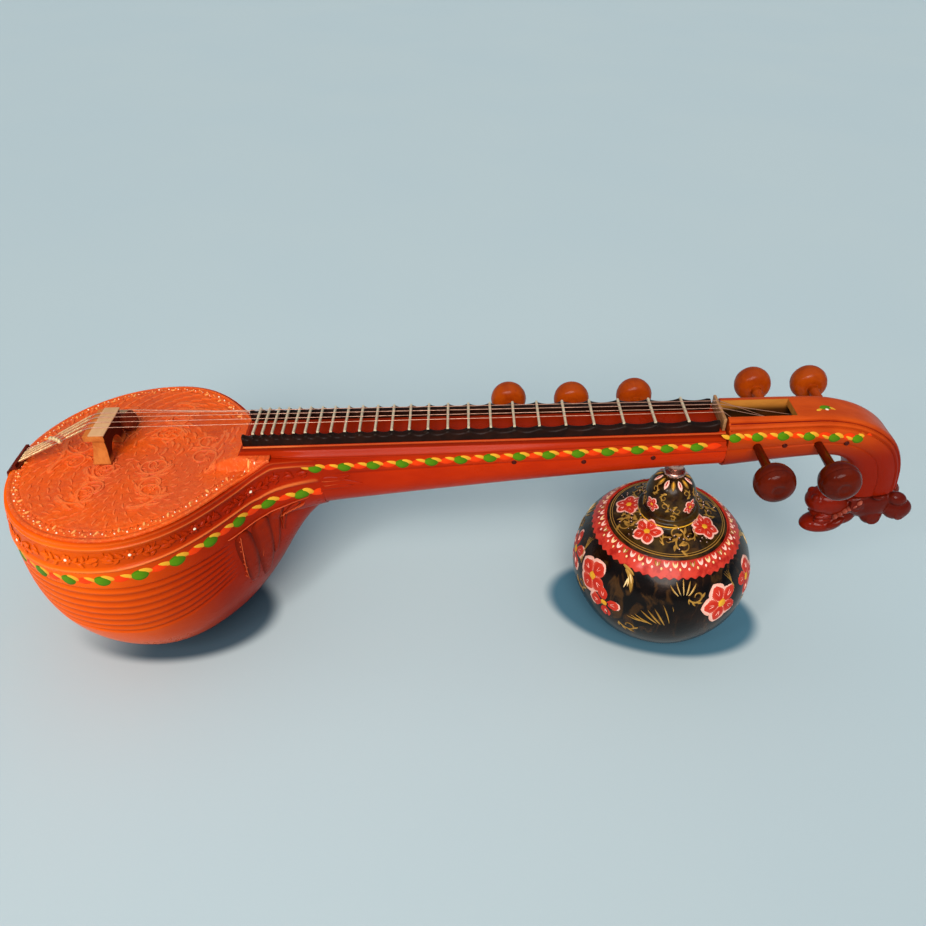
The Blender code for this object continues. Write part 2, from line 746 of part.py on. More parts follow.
def make_bridge_body():
    span = BRIDGE_HALF_SPAN
    height = BRIDGE_TOP_Z - PLANK_THICKNESS / 2 - BRIDGE_FOOT_Z
    side = [(span, 0.0), (span - BRIDGE_WAIST * 0.6, 0.22), (span - BRIDGE_WAIST, 0.5),
            (span - BRIDGE_WAIST, 1.0)]
    outline = [(0.0, y, BRIDGE_FOOT_Z + h * height) for y, h in side]
    outline.extend((0.0, -y, BRIDGE_FOOT_Z + h * height) for y, h in reversed(side))
    for k in range(9):
        a = math.pi * (1.0 - k / 8)
        outline.append((0.0, BRIDGE_ARCH_HALF_WIDTH * math.cos(a),
                        BRIDGE_FOOT_Z + BRIDGE_ARCH_HEIGHT * math.sin(a)))
    bm = extruded(outline, (BRIDGE_BACK_X, 0.0, 0.0),
                  (BRIDGE_FRONT_X - BRIDGE_BACK_X, 0.0, 0.0))
    for vert in bm.verts:
        if vert.co.x == min(v.co.x for v in bm.verts):
            vert.tag = True
    for vert in bm.verts:
        if vert.tag:
            share = (vert.co.z - BRIDGE_FOOT_Z) / height
            vert.co.x = mix(BRIDGE_FOOT_BACK_X, BRIDGE_BACK_X, share)
    body = finish_mesh("bridge_body", bm, "bridge_wood")
    under = BRIDGE_TOP_Z - PLANK_THICKNESS
    plank = [(PLANK_BACK_X, -span, under), (PLANK_FRONT_X, -span, under),
             (PLANK_FRONT_X, -span, BRIDGE_TOP_Z), (PLANK_BACK_X, -span, BRIDGE_TOP_Z)]
    join(body, extruded(plank, (0.0, 0.0, 0.0), (0.0, 2 * span, 0.0)), "bridge_plank")
    return body


def make_bridge_cap():
    base = BRIDGE_TOP_Z + GAP
    edge = CAP_THICKNESS * 0.3
    outline = [(CAP_BACK_X, 0.0, base), (CAP_FRONT_X, 0.0, base),
               (CAP_FRONT_X, 0.0, base + CAP_THICKNESS - edge),
               (CAP_FRONT_X - edge, 0.0, base + CAP_THICKNESS),
               (CAP_BACK_X + edge, 0.0, base + CAP_THICKNESS),
               (CAP_BACK_X, 0.0, base + CAP_THICKNESS - edge)]
    bm = extruded(outline, (0.0, -CAP_HALF_SPAN, 0.0), (0.0, 2 * CAP_HALF_SPAN, 0.0))
    return finish_mesh("bridge_plate", bm, "cap_brass", (0.0, 0.0, base))


def side_bridge_arc(radius, steps=10, start=4.0, end=86.0):
    centre_y = BRIDGE_HALF_SPAN + 3 * GAP
    points = []
    for k in range(steps + 1):
        a = math.radians(mix(start, end, k / steps))
        points.append((0.0, centre_y + radius * math.sin(a),
                       BRIDGE_FOOT_Z + radius * math.cos(a)))
    return points


def make_side_bridge():
    outer = side_bridge_arc(SIDE_BRIDGE_RADIUS)
    inner = side_bridge_arc(SIDE_BRIDGE_RADIUS - SIDE_BRIDGE_DEPTH)
    foot_y = outer[-1][1]
    outline = [*outer, (0.0, foot_y, BRIDGE_FOOT_Z), (0.0, inner[-1][1], BRIDGE_FOOT_Z)]
    outline.extend(reversed(inner))
    touch_y = BRIDGE_HALF_SPAN + GAP
    outline.append((0.0, touch_y, inner[0][2]))
    outline.append((0.0, touch_y, outer[0][2]))
    width = SIDE_BRIDGE_FRONT_X - SIDE_BRIDGE_BACK_X
    bm = extruded(outline, (SIDE_BRIDGE_BACK_X, 0.0, 0.0), (width, 0.0, 0.0))
    return finish_mesh("side_bridge", bm, "dark_wood")


def make_side_cap():
    low = SIDE_BRIDGE_RADIUS + GAP
    inner = side_bridge_arc(low, 10, 8.0, 80.0)
    outer = side_bridge_arc(low + SIDE_CAP_THICKNESS, 10, 8.0, 80.0)
    outline = [*outer, *reversed(inner)]
    width = SIDE_BRIDGE_FRONT_X - SIDE_BRIDGE_BACK_X
    bm = extruded(outline, (SIDE_BRIDGE_BACK_X, 0.0, 0.0), (width, 0.0, 0.0))
    return finish_mesh("side_bridge_plate", bm, "cap_brass")


# Tailpiece and tuning beads

def tail_inner_line():
    edge_x = BOWL_CENTRE_X - RIM_RADIUS
    seat = board_top(TAIL_START_X, 0.0) + GAP
    lip = board_top(edge_x + BOARD_INSET, 0.0) + 2 * GAP
    points = [(TAIL_START_X, seat + GAP), (edge_x + BOARD_INSET, lip)]
    for step in range(4):
        level = -TAIL_DROP * step / 3
        x = BOWL_CENTRE_X - bowl_radius(level) - 4 * GAP
        points.append((x, level + rim_dip(edge_x) * ease(1.0 + level / SIDE_BLEND)))
    return points


def tail_bar_top():
    return tail_inner_line()[0][1] + TAIL_THICKNESS + TAIL_BAR_HEIGHT


def make_tailpiece():
    inner = tail_inner_line()
    outer = []
    for i, (x, z) in enumerate(inner):
        before = Vector(inner[max(0, i - 1)])
        after = Vector(inner[min(len(inner) - 1, i + 1)])
        along = (after - before).normalized()
        away = Vector((along.y, -along.x))
        outer.append((x + away.x * TAIL_THICKNESS, z + away.y * TAIL_THICKNESS))
    bar_back = TAIL_BAR_X
    bar_front = TAIL_BAR_X + TAIL_BAR_LENGTH
    top_z = outer[0][1]
    bar = [(bar_front, top_z), (bar_front, tail_bar_top()), (bar_back, tail_bar_top()),
           (bar_back, top_z)]
    outline = [*inner, *reversed(outer[1:]), *reversed(bar), outer[0]]
    bm = extruded([(x, 0.0, z) for x, z in outline], (0.0, -TAIL_HALF_WIDTH, 0.0),
                  (0.0, 2 * TAIL_HALF_WIDTH, 0.0))
    return finish_mesh("tailpiece", bm, "dark_metal", smooth=False)


def string_crossing(radius=STRING_RADIUS):
    return BRIDGE_TOP_Z + GAP + CAP_THICKNESS + GAP + radius


def leader_ends(index):
    # The thick wire of a main string, from the plank's back edge to the tail bar.
    top = Vector((PLANK_BACK_X - GAP, MAIN_STRINGS_AT_BRIDGE[index],
                  BRIDGE_TOP_Z + GAP + LEADER_RADIUS))
    tail = Vector((TAIL_BAR_X + TAIL_BAR_LENGTH + GAP, MAIN_STRINGS_AT_TAIL[index],
                   tail_bar_top() - 2 * LEADER_RADIUS))
    return top, tail


def make_bead(index):
    top, tail = leader_ends(index)
    share = (top.x - (BEAD_X - BEAD_STAGGER * (index - 1.5))) / (top.x - tail.x)
    centre = top.lerp(tail, share)
    axis = (top - tail).normalized()
    across = axis.cross(Vector((0, 1, 0))).normalized()
    hole = LEADER_RADIUS + RUNNING_CLEARANCE
    half = BEAD_LENGTH / 2
    profile = [(hole, -half), (BEAD_RADIUS * 0.7, -half), (BEAD_RADIUS, -half * 0.4),
               (BEAD_RADIUS, half * 0.4), (BEAD_RADIUS * 0.7, half), (hole, half)]
    bm = turned(profile, centre, axis, across, 12, True)
    return finish_mesh(f"tuning_bead_{index + 1}", bm, "bead_brass", centre)


# Head

def head_lines():
    # Outer and inner edges of the head in side view, and its half width.
    joined = [(NECK_END_X + ox, oz, NECK_END_X + ix, iz, w)
              for (ox, oz), (ix, iz), w in zip(HEAD_OUTER, HEAD_INNER, HEAD_HALF_WIDTHS)]
    path = smooth_stations(joined, 2)
    return path


def smooth_stations(rows, steps):
    # Smooth values between the rows, three columns at a time.
    left = smooth_path([row[:3] for row in rows], steps)
    right = smooth_path([row[2:] for row in rows], steps)
    return [(a[0], a[1], b[0], b[1], b[2]) for a, b in zip(left, right)]


HEAD_SECTION = ((1.0, 0.0), (1.0, HEAD_TOP_SHARE), (0.93, 0.80), (0.62, 1.0), (0.30, 1.0),
                (0.12, 0.82), (0.02, 0.42), (0.0, 0.0))


def head_ring(station):
    ox, oz, ix, iz, half = station
    ring = []
    right = [(u, v) for u, v in HEAD_SECTION]
    left = [(u, -v) for u, v in HEAD_SECTION[-2:0:-1]]
    for u, v in right + left:
        ring.append((mix(ix, ox, u), v * half, mix(iz, oz, u)))
    return ring


def make_head():
    rings = [head_ring(station) for station in head_lines()]
    head = finish_mesh("pegbox_head", loft(rings), "lacquer_red")
    cut(head, peg_box_cavity(), "peg_box_cutter")
    for number, x in enumerate(MAIN_PEG_X):
        side = -1 if number % 2 == 0 else 1
        cut(head, peg_hole(x, MAIN_PEG_Z, side, head_half_width(x)), "main_hole_cutter")
    return head


def head_half_width(x):
    stations = head_lines()
    for a, b in zip(stations, stations[1:]):
        if a[0] <= x <= b[0]:
            return mix(a[4], b[4], (x - a[0]) / (b[0] - a[0]))
    return stations[-1][4]


def peg_box_cavity():
    start = HEAD_START_X - 0.006
    sky = 0.070
    outline = [(start, 0.0, BOX_FLOOR_Z), (BOX_END_X, 0.0, BOX_FLOOR_Z),
               (BOX_END_X, 0.0, BOX_ROOF_END_Z), (BOX_MOUTH_END_X, 0.0, BOX_ROOF_Z),
               (BOX_MOUTH_END_X, 0.0, sky), (start, 0.0, sky)]
    return extruded(outline, (0.0, -BOX_HALF_WIDTH, 0.0), (0.0, 2 * BOX_HALF_WIDTH, 0.0))


# The beast's head at the end of the neck, as overlapping rounded masses:
# centre beyond the neck, y, z, then the three radii, then the tilt in side view in degrees.
BEAST_MASSES = {
    "skull": ((0.2418, 0.0, -0.117), (0.042, 0.0320, 0.036), 0.0),
    "upper_jaw": ((0.1958, 0.0, -0.115), (0.041, 0.0250, 0.0225), 6.0),
    "jaw_hinge": ((0.2198, 0.0, -0.145), (0.032, 0.0190, 0.0145), -32.0),
    "lower_jaw": ((0.1898, 0.0, -0.162), (0.031, 0.0215, 0.0185), 0.0),
    "ear_near": ((0.2838, -0.021, -0.123), (0.021, 0.0140, 0.021), 0.0),
    "ear_far": ((0.2838, 0.021, -0.123), (0.021, 0.0140, 0.021), 0.0),
    "tuft_near": ((0.2518, -0.021, -0.140), (0.015, 0.0120, 0.015), 0.0),
    "tuft_far": ((0.2518, 0.021, -0.140), (0.015, 0.0120, 0.015), 0.0),
}
BEAST_STEPS = 14
BEAST_RINGS = 9


def rounded_mass(centre, radii, tilt):
    bm = bmesh.new()
    bmesh.ops.create_uvsphere(bm, u_segments=BEAST_STEPS, v_segments=BEAST_RINGS, radius=1.0)
    bmesh.ops.scale(bm, verts=bm.verts, vec=radii)
    turn = Matrix.Rotation(math.radians(tilt), 3, "Y")
    bmesh.ops.rotate(bm, verts=bm.verts, cent=(0, 0, 0), matrix=turn)
    bmesh.ops.translate(bm, verts=bm.verts, vec=centre)
    return bm


def make_beast():
    beast = None
    for name, ((past, y, z), radii, tilt) in BEAST_MASSES.items():
        bm = rounded_mass((NECK_END_X + past, y, z), radii, tilt)
        if beast is None:
            beast = finish_mesh("yali_head", bm, "lacquer_red")
            continue
        join(beast, bm, name)
    cut(beast, neck_end_block(), "neck_end_cutter")
    return beast


def neck_end_block():
    ox, oz, ix, iz, _ = head_lines()[-1]
    along = (Vector((ox, 0.0, oz)) - Vector((ix, 0.0, iz))).normalized()
    away = Vector((along.z, 0.0, -along.x))
    low = Vector((ix, 0.0, iz)) - along * 0.007 + away * GAP
    high = Vector((ox, 0.0, oz)) + along * 0.040 + away * GAP
    top = Vector((0.0, 0.0, 0.120))
    half = 2 * HEAD_HALF_WIDTHS[-1]
    outline = [low, high, high + top, low + top]
    return extruded(outline, (0.0, -half, 0.0), (0.0, 2 * half, 0.0))


# Pegs

def peg_profile(tip, start):
    # Radius against the distance from the middle plane, from the tip to the bun's end.
    end = start + PEG_HEAD_LENGTH
    r = PEG_HEAD_RADIUS
    bun = [(PEG_SHAFT_RADIUS, start), (0.55 * r, start + 0.0005), (0.86 * r, start + 0.0050),
           (r, start + 0.0150), (0.98 * r, start + 0.0235), (0.82 * r, start + 0.0320),
           (0.55 * r, end - 0.0008), (0.36 * r, end), (0.28 * r, end - 0.0016), (0.0, end - 0.0016)]
    return [(0.0, tip), (PEG_TIP_RADIUS, tip), *bun]


def head_start(side):
    return NEAR_HEAD_START if side < 0 else FAR_HEAD_START


def peg_hole(x, z, side, half_width):
    tip = -(half_width + PEG_TIP_PROUD)
    reach = 0.010
    slope = (PEG_SHAFT_RADIUS - PEG_TIP_RADIUS) / (head_start(side) - tip)
    start_r = PEG_TIP_RADIUS + PEG_CLEARANCE - slope * reach
    end = half_width + 2 * reach
    end_r = PEG_TIP_RADIUS + PEG_CLEARANCE + slope * (end - tip)
    profile = [(0.0, tip - reach), (start_r, tip - reach), (end_r, end), (0.0, end)]
    return turned(profile, (x, 0.0, z), (0, side, 0), (1, 0, 0), SMALL_ROUND_STEPS, False)


def make_peg(name, x, z, side, half_width, material):
    tip = -(half_width + PEG_TIP_PROUD)
    profile = peg_profile(tip, head_start(side))
    bm = turned(profile, (x, 0.0, z), (0, side, 0), (1, 0, 0), SMALL_ROUND_STEPS, False)
    return finish_mesh(name, bm, material, (x, 0.0, z))


def shaft_radius(distance, side, half_width):
    tip = -(half_width + PEG_TIP_PROUD)
    share = (distance - tip) / (head_start(side) - tip)
    return mix(PEG_TIP_RADIUS, PEG_SHAFT_RADIUS, share)


def make_pegs():
    for number, x in enumerate(MAIN_PEG_X):
        side = -1 if number % 2 == 0 else 1
        material = "peg_red" if side < 0 else "peg_orange"
        make_peg(f"main_peg_{number + 1}", x, MAIN_PEG_Z, side, head_half_width(x), material)
    for number, (x, z) in enumerate(zip(DRONE_PEG_X, DRONE_PEG_Z)):
        make_peg(f"drone_peg_{number + 1}", x, z, 1, neck_half_width(x), "peg_orange")


# Strings

def make_string(name, points, radii):
    curve = bpy.data.curves.new(name, "CURVE")
    curve.dimensions = "3D"
    curve.bevel_depth = STRING_RADIUS
    curve.bevel_resolution = 1
    curve.use_fill_caps = True
    spline = curve.splines.new("POLY")
    spline.points.add(len(points) - 1)
    for target, place, radius in zip(spline.points, points, radii):
        target.co = (*place, 1.0)
        target.radius = radius / STRING_RADIUS
    string = bpy.data.objects.new(name, curve)
    bpy.context.scene.collection.objects.link(string)
    string.parent = REST_FRAME
    curve.materials.append(make_material("string_steel"))
    return string


def make_main_string(index, peg_number):
    top, tail = leader_ends(index)
    y_bridge = MAIN_STRINGS_AT_BRIDGE[index]
    y_nut = MAIN_STRINGS_AT_NUT[index]
    step = Vector((CAP_BACK_X, y_bridge, string_crossing(LEADER_RADIUS)))
    edge = Vector((CAP_FRONT_X, y_bridge, string_crossing()))
    nut_z = NUT_TOP + GAP + STRING_RADIUS
    nut = Vector((SCALE_LENGTH - NUT_THICKNESS * 0.25, y_nut, nut_z))
    nut_back = Vector((SCALE_LENGTH + NUT_THICKNESS * 0.25, y_nut, nut_z))
    x = MAIN_PEG_X[peg_number]
    side = -1 if peg_number % 2 == 0 else 1
    radius = shaft_radius(side * y_nut, side, head_half_width(x)) + GAP + STRING_RADIUS
    peg = Vector((x - radius * 0.35, y_nut, MAIN_PEG_Z + radius * 0.96))
    points = [tail, top, step, edge, nut, nut_back, peg]
    radii = [*[LEADER_RADIUS] * 3, *[STRING_RADIUS] * 4]
    return make_string(f"main_string_{index + 1}", points, radii)


def make_drone_string(index):
    angle = math.radians(DRONE_ANGLES[index])
    reach = SIDE_BRIDGE_RADIUS + GAP + SIDE_CAP_THICKNESS + GAP + STRING_RADIUS
    centre_y = BRIDGE_HALF_SPAN + 3 * GAP
    y = centre_y + reach * math.sin(angle)
    z = BRIDGE_FOOT_Z + reach * math.cos(angle)
    back = Vector((SIDE_BRIDGE_BACK_X, y, z))
    front = Vector((SIDE_BRIDGE_FRONT_X, y, z))
    tail = Vector((TAIL_BAR_X + TAIL_BAR_LENGTH + GAP, DRONE_STRINGS_AT_TAIL[index],
                   tail_bar_top() - 2 * LEADER_RADIUS))
    x = DRONE_PEG_X[index]
    y_peg = neck_half_width(x) + 0.010 + 0.004 * index
    radius = shaft_radius(y_peg, 1, neck_half_width(x)) + GAP + STRING_RADIUS
    peg = Vector((x, y_peg, DRONE_PEG_Z[index] + radius))
    return make_string(f"drone_string_{index + 1}", [tail, back, front, peg],
                       [STRING_RADIUS] * 4)


# Gourd

def gourd_wall_profile():
    steps = 12
    start = math.acos(GOURD_CAP_RADIUS / GOURD_RADIUS)
    end = -math.acos(GOURD_BLANK_MOUTH / GOURD_RADIUS)
    outer = []
    inner = []
    for k in range(steps + 1):
        a = mix(start, end, k / steps)
        height = GOURD_TOP_HEIGHT if a > 0 else GOURD_BOTTOM_HEIGHT
        outer.append((GOURD_RADIUS * math.cos(a), GOURD_CENTRE_Z + height * math.sin(a)))
        inner.append(((GOURD_RADIUS - GOURD_WALL) * math.cos(a),
                      GOURD_CENTRE_Z + (height - GOURD_WALL) * math.sin(a)))
    outer[0] = (GOURD_CAP_RADIUS + 0.001, GOURD_CAP_Z - GAP)
    inner[0] = (GOURD_CAP_RADIUS - GOURD_WALL, GOURD_CAP_Z - GAP)
    return outer + inner[::-1]


def make_gourd_shell():
    bm = turned(gourd_wall_profile(), GOURD_AXIS_POINT, UP, ACROSS,
                ROUND_STEPS, True)
    gourd_floor = Vector((GOURD_X, 0.0, -GOURD_DROP))
    geometry = list(bm.verts) + list(bm.edges) + list(bm.faces)
    bmesh.ops.bisect_plane(bm, geom=geometry, dist=0.00001, plane_co=gourd_floor,
                           plane_no=FLOOR_NORMAL, clear_outer=True)
    open_edges = [edge for edge in bm.edges if edge.is_boundary]
    bmesh.ops.bridge_loops(bm, edges=open_edges)
    return finish_mesh("gourd_shell", bm, "gourd_black", (GOURD_X, 0.0, GOURD_CENTRE_Z))


def make_gourd_cap():
    r = GOURD_BULB_RADIUS
    top = GOURD_BULB_TOP_Z
    seam = GOURD_CAP_Z
    outer = [(0.0, top), (0.40 * r, top - 0.0010), (0.70 * r, top - 0.0090),
             (0.88 * r, top - 0.0210), (0.97 * r, top - 0.0340), (r, top - 0.0470),
             (r, seam + 0.0240), (1.14 * r, seam + 0.0195), (1.32 * r, seam + 0.0165),
             (1.32 * r, seam + 0.0130), (0.80 * GOURD_CAP_RADIUS, seam + 0.0085),
             (GOURD_CAP_RADIUS, seam + 0.0022), (GOURD_CAP_RADIUS, seam)]
    wall = GOURD_WALL
    inner = [(GOURD_CAP_RADIUS - wall, seam), (0.76 * GOURD_CAP_RADIUS, seam + 0.0040),
             (1.1 * r, seam + 0.0080), (r - wall, seam + 0.0190),
             (r - wall, top - 0.0450), (0.66 * r, top - 0.0220), (0.0, top - 0.0120)]
    bm = turned([*outer, *inner], GOURD_AXIS_POINT, UP, ACROSS,
                ROUND_STEPS, False)
    return finish_mesh("gourd_cap", bm, "gourd_black", (GOURD_X, 0.0, GOURD_CENTRE_Z))


def socket_top():
    return keel_z(GOURD_X) + 0.006


def make_stalk():
    r = STALK_RADIUS
    flare = STALK_FLARE_RADIUS
    shoulder = socket_top() - SOCKET_HEIGHT - GAP
    low = GOURD_BULB_TOP_Z + GAP
    span = shoulder - low
    profile = [(0.0, keel_z(GOURD_X) + STALK_DEPTH), (r, keel_z(GOURD_X) + STALK_DEPTH),
               (r, shoulder), (0.62 * flare, shoulder), (0.76 * flare, shoulder - 0.18 * span),
               (0.72 * flare, shoulder - 0.42 * span), (0.50 * flare, shoulder - 0.56 * span),
               (0.90 * flare, shoulder - 0.64 * span), (flare, shoulder - 0.80 * span),
               (0.80 * flare, low), (0.0, low)]
    bm = turned(profile, GOURD_AXIS_POINT, UP, ACROSS, SMALL_ROUND_STEPS, False)
    return finish_mesh("gourd_stalk", bm, "stalk_metal", (GOURD_X, 0.0, GOURD_CENTRE_Z))


def make_socket():
    top = socket_top()
    bottom = top - SOCKET_HEIGHT
    hole = STALK_RADIUS + GAP
    profile = [(hole, top), (SOCKET_RADIUS, top), (SOCKET_RADIUS, bottom + 0.002),
               (SOCKET_RADIUS - 0.0015, bottom), (hole, bottom)]
    bm = turned(profile, GOURD_AXIS_POINT, UP, ACROSS, SMALL_ROUND_STEPS, True)
    return finish_mesh("gourd_socket", bm, "stalk_metal", (GOURD_X, 0.0, top))


clear_scene()
REST_FRAME = make_rest_frame()
make_bowl()
make_board()
make_neck()
make_cover()
make_rail("wax_rail_near", -1)
make_rail("wax_rail_far", 1)
for fret_number in range(1, FRET_COUNT + 1):
    make_fret(fret_number)
make_nut()
make_bridge_body()
make_bridge_cap()
make_side_bridge()
make_side_cap()
make_tailpiece()
make_head()
make_beast()
make_pegs()
for string_index, peg_index in enumerate((0, 2, 3, 1)):
    make_main_string(string_index, peg_index)
for drone_index in range(len(DRONE_PEG_X)):
    make_drone_string(drone_index)
for bead_index in range(len(MAIN_STRINGS_AT_TAIL)):
    make_bead(bead_index)
make_gourd_shell()
make_gourd_cap()
make_stalk()
make_socket()
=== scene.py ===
# The looks of a South Indian veena: carved lacquer, painted garlands, wax, brass and strings.
import math

import bmesh
import bpy
import numpy as np
from mathutils import Matrix, Vector


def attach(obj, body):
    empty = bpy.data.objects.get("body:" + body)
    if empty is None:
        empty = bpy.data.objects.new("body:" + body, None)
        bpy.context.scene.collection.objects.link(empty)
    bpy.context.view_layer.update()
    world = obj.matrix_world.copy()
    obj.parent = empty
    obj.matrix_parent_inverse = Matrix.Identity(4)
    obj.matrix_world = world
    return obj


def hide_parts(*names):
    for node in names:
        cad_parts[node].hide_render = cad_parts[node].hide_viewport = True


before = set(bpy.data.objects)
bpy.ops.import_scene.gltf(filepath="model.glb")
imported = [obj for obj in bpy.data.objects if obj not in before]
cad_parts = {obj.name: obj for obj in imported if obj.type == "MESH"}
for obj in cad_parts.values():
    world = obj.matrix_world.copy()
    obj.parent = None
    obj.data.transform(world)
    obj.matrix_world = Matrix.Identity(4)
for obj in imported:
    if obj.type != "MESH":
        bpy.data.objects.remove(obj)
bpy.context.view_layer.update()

print("frame loaded:", len(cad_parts), "nodes")

# The instrument is drawn level, with its rim at z = 0, and then laid down on its bowl and gourd.
restPose = {"footX": 0.033, "footZ": -0.3045, "gourdX": 0.8132, "gourdZ": -0.355}
restAngle = math.atan2(restPose["footZ"] - restPose["gourdZ"],
                       restPose["gourdX"] - restPose["footX"])
restMatrix = (Matrix.Rotation(-restAngle, 4, "Y")
              @ Matrix.Translation((-restPose["footX"], 0.0, -restPose["footZ"])))
floorNormal = (-math.sin(restAngle), 0.0, -math.cos(restAngle))


# Shader maths as Python sums

class Wire:
    # An output socket that takes part in sums.
    def __init__(self, paint, socket):
        self.paint = paint
        self.socket = socket

    def __add__(self, other):
        return self.paint.sum("ADD", self, other)

    def __radd__(self, other):
        return self.paint.sum("ADD", other, self)

    def __sub__(self, other):
        return self.paint.sum("SUBTRACT", self, other)

    def __rsub__(self, other):
        return self.paint.sum("SUBTRACT", other, self)

    def __mul__(self, other):
        return self.paint.sum("MULTIPLY", self, other)

    def __rmul__(self, other):
        return self.paint.sum("MULTIPLY", other, self)

    def __truediv__(self, other):
        return self.paint.sum("DIVIDE", self, other)

    def __abs__(self):
        return self.paint.sum("ABSOLUTE", self)

    def __gt__(self, other):
        return self.paint.sum("GREATER_THAN", self, other)

    def __lt__(self, other):
        return self.paint.sum("LESS_THAN", self, other)


finishes = {}


def rgb(red, green, blue):
    # A colour given as it looks on a screen, 0 to 255.
    channels = []
    for value in (red, green, blue):
        c = value / 255.0
        channels.append(c / 12.92 if c <= 0.04045 else ((c + 0.055) / 1.055) ** 2.4)
    return (*channels, 1.0)


class Paint:
    # One material; spot is the place on the level instrument, in metres.
    def __init__(self, name):
        self.name = name
        self.material = bpy.data.materials.new(name)
        self.material.use_nodes = True
        self.tree = self.material.node_tree
        self.shader = self.tree.nodes["Principled BSDF"]
        self.object = self.node("ShaderNodeTexCoord", {}, {}, "Object")
        self.spot = self.node("ShaderNodeMapping", {}, {
            "Vector": self.object,
            "Location": (restPose["footX"], 0.0, restPose["footZ"]),
            "Rotation": (0.0, restAngle, 0.0)})
        self.x, self.y, self.z = self.split(self.spot)

    def node(self, kind, settings, values, output=0):
        made = self.tree.nodes.new(kind)
        for key, value in settings.items():
            setattr(made, key, value)
        for key, value in values.items():
            self.feed(made.inputs[key], value)
        return made if output is None else Wire(self, made.outputs[output])

    def feed(self, socket, value):
        if isinstance(value, Wire):
            self.tree.links.new(value.socket, socket)
        else:
            socket.default_value = value

    def split(self, vector):
        parts = self.node("ShaderNodeSeparateXYZ", {}, {"Vector": vector}, None)
        return [Wire(self, output) for output in parts.outputs]

    def sum(self, operation, *terms):
        values = {i: term for i, term in enumerate(terms)}
        return self.node("ShaderNodeMath", {"operation": operation}, values)

    def blend(self, first, second, share):
        # Each colour is a wire, or red, green and blue from 0 to 255.
        first, second = (c if isinstance(c, Wire) else rgb(*c) for c in (first, second))
        return self.node("ShaderNodeMix", {"data_type": "RGBA"},
                         {0: share, 6: first, 7: second}, 2)

    def fade(self, value, low, high):
        # 0 below low, 1 above high, smooth between.
        return self.node("ShaderNodeMapRange", {"interpolation_type": "SMOOTHSTEP"},
                         {"Value": value, "From Min": low, "From Max": high})

    def noise(self, scale, detail=3.0, rough=0.5, where=None, warp=0.0):
        return self.node("ShaderNodeTexNoise", {}, {
            "Vector": where or self.spot, "Scale": scale, "Detail": detail,
            "Roughness": rough, "Distortion": warp})

    def patches(self, low, high, *noise, **more):
        return self.fade(self.noise(*noise, **more), low, high)

    def streaks(self):
        # Long brush marks that run along the neck.
        return self.patches(0.35, 0.75, 60.0, 4.0, 0.6, where=self.stretched((0.35, 1.0, 1.0)))

    def cells(self, scale):
        return self.node("ShaderNodeTexVoronoi", {"feature": "F1"},
                         {"Vector": self.spot, "Scale": scale})

    def awayFrom(self, x):
        # Distance from the upright axis through x.
        return self.sum("SQRT", (self.x - x) * (self.x - x) + self.y * self.y)

    def stretched(self, scales):
        return self.node("ShaderNodeMapping", {}, {"Vector": self.spot, "Scale": scales})

    def uv(self):
        return self.split(self.node("ShaderNodeUVMap", {"uv_map": "strokes"}, {}))[:2]

    def relief(self):
        return self.node("ShaderNodeAttribute", {"attribute_name": "relief"}, {}, "Fac")

    def finish(self, colour, rough, metal, coat, bumps, lift, specular=0.05):
        values = {"Base Color": colour, "Roughness": rough, "Metallic": metal,
                  "Coat Weight": coat, "Coat Roughness": 0.12, "Specular IOR Level": specular,
                  "Normal": self.node("ShaderNodeBump", {}, {"Height": bumps, "Distance": lift,
                                                             "Strength": 1.0})}
        for name, value in values.items():
            self.feed(self.shader.inputs[name], value)
        finishes[self.name] = self.material
        return self.material


# Finishes

def makeLacquer(name, light, deep, hollowShade, far=None, rough=0.27, coat=0.02, usesRelief=False,
                farSpan=(-0.06, 0.18)):
    # far is the pair of colours that the lacquer turns to along x, over farSpan: painted shade on
    # the bowl and the neck, a darker tone on the beast.
    paint = Paint(name)
    clouds = paint.patches(0.32, 0.70, 9.0, 3.0, 0.55)
    streaks = paint.streaks()
    flecks = paint.patches(0.60, 0.78, 420.0, 2.0, 0.6)
    worn = clouds * 0.35 + streaks * 0.25
    colour = paint.blend(light, deep, worn)
    if far:
        distant = paint.blend(far[0], far[1], worn)
        colour = paint.blend(colour, distant, paint.fade(paint.x, *farSpan))
    if usesRelief:
        # Painted shade in the carved hollows, where the relief values are below 1.
        carved = paint.relief()
        colour = paint.blend(colour, hollowShade, (1.0 - carved) * 0.60)
        # A painted highlight on the crests, where the relief values are over 1, weaker at the
        # bowl's root.
        crestHighlight = paint.fade(carved, 1.10, 1.60) * (0.55 - paint.fade(paint.x, 0.255, 0.300) * 0.35)
        colour = paint.blend(colour, (248, 132, 62), crestHighlight)
    colour = paint.blend(colour, hollowShade, flecks * 0.08)
    wear = paint.patches(0.45, 0.75, 160.0, 5.0, 0.65)
    roughness = rough + wear * 0.10 + clouds * 0.05
    bumps = paint.noise(220.0, 3.0, 0.55) * 0.5 + streaks * 0.6 + paint.noise(32.0, 2.0, 0.5)
    return paint.finish(colour, roughness, 0.0, coat, bumps, 0.00035)


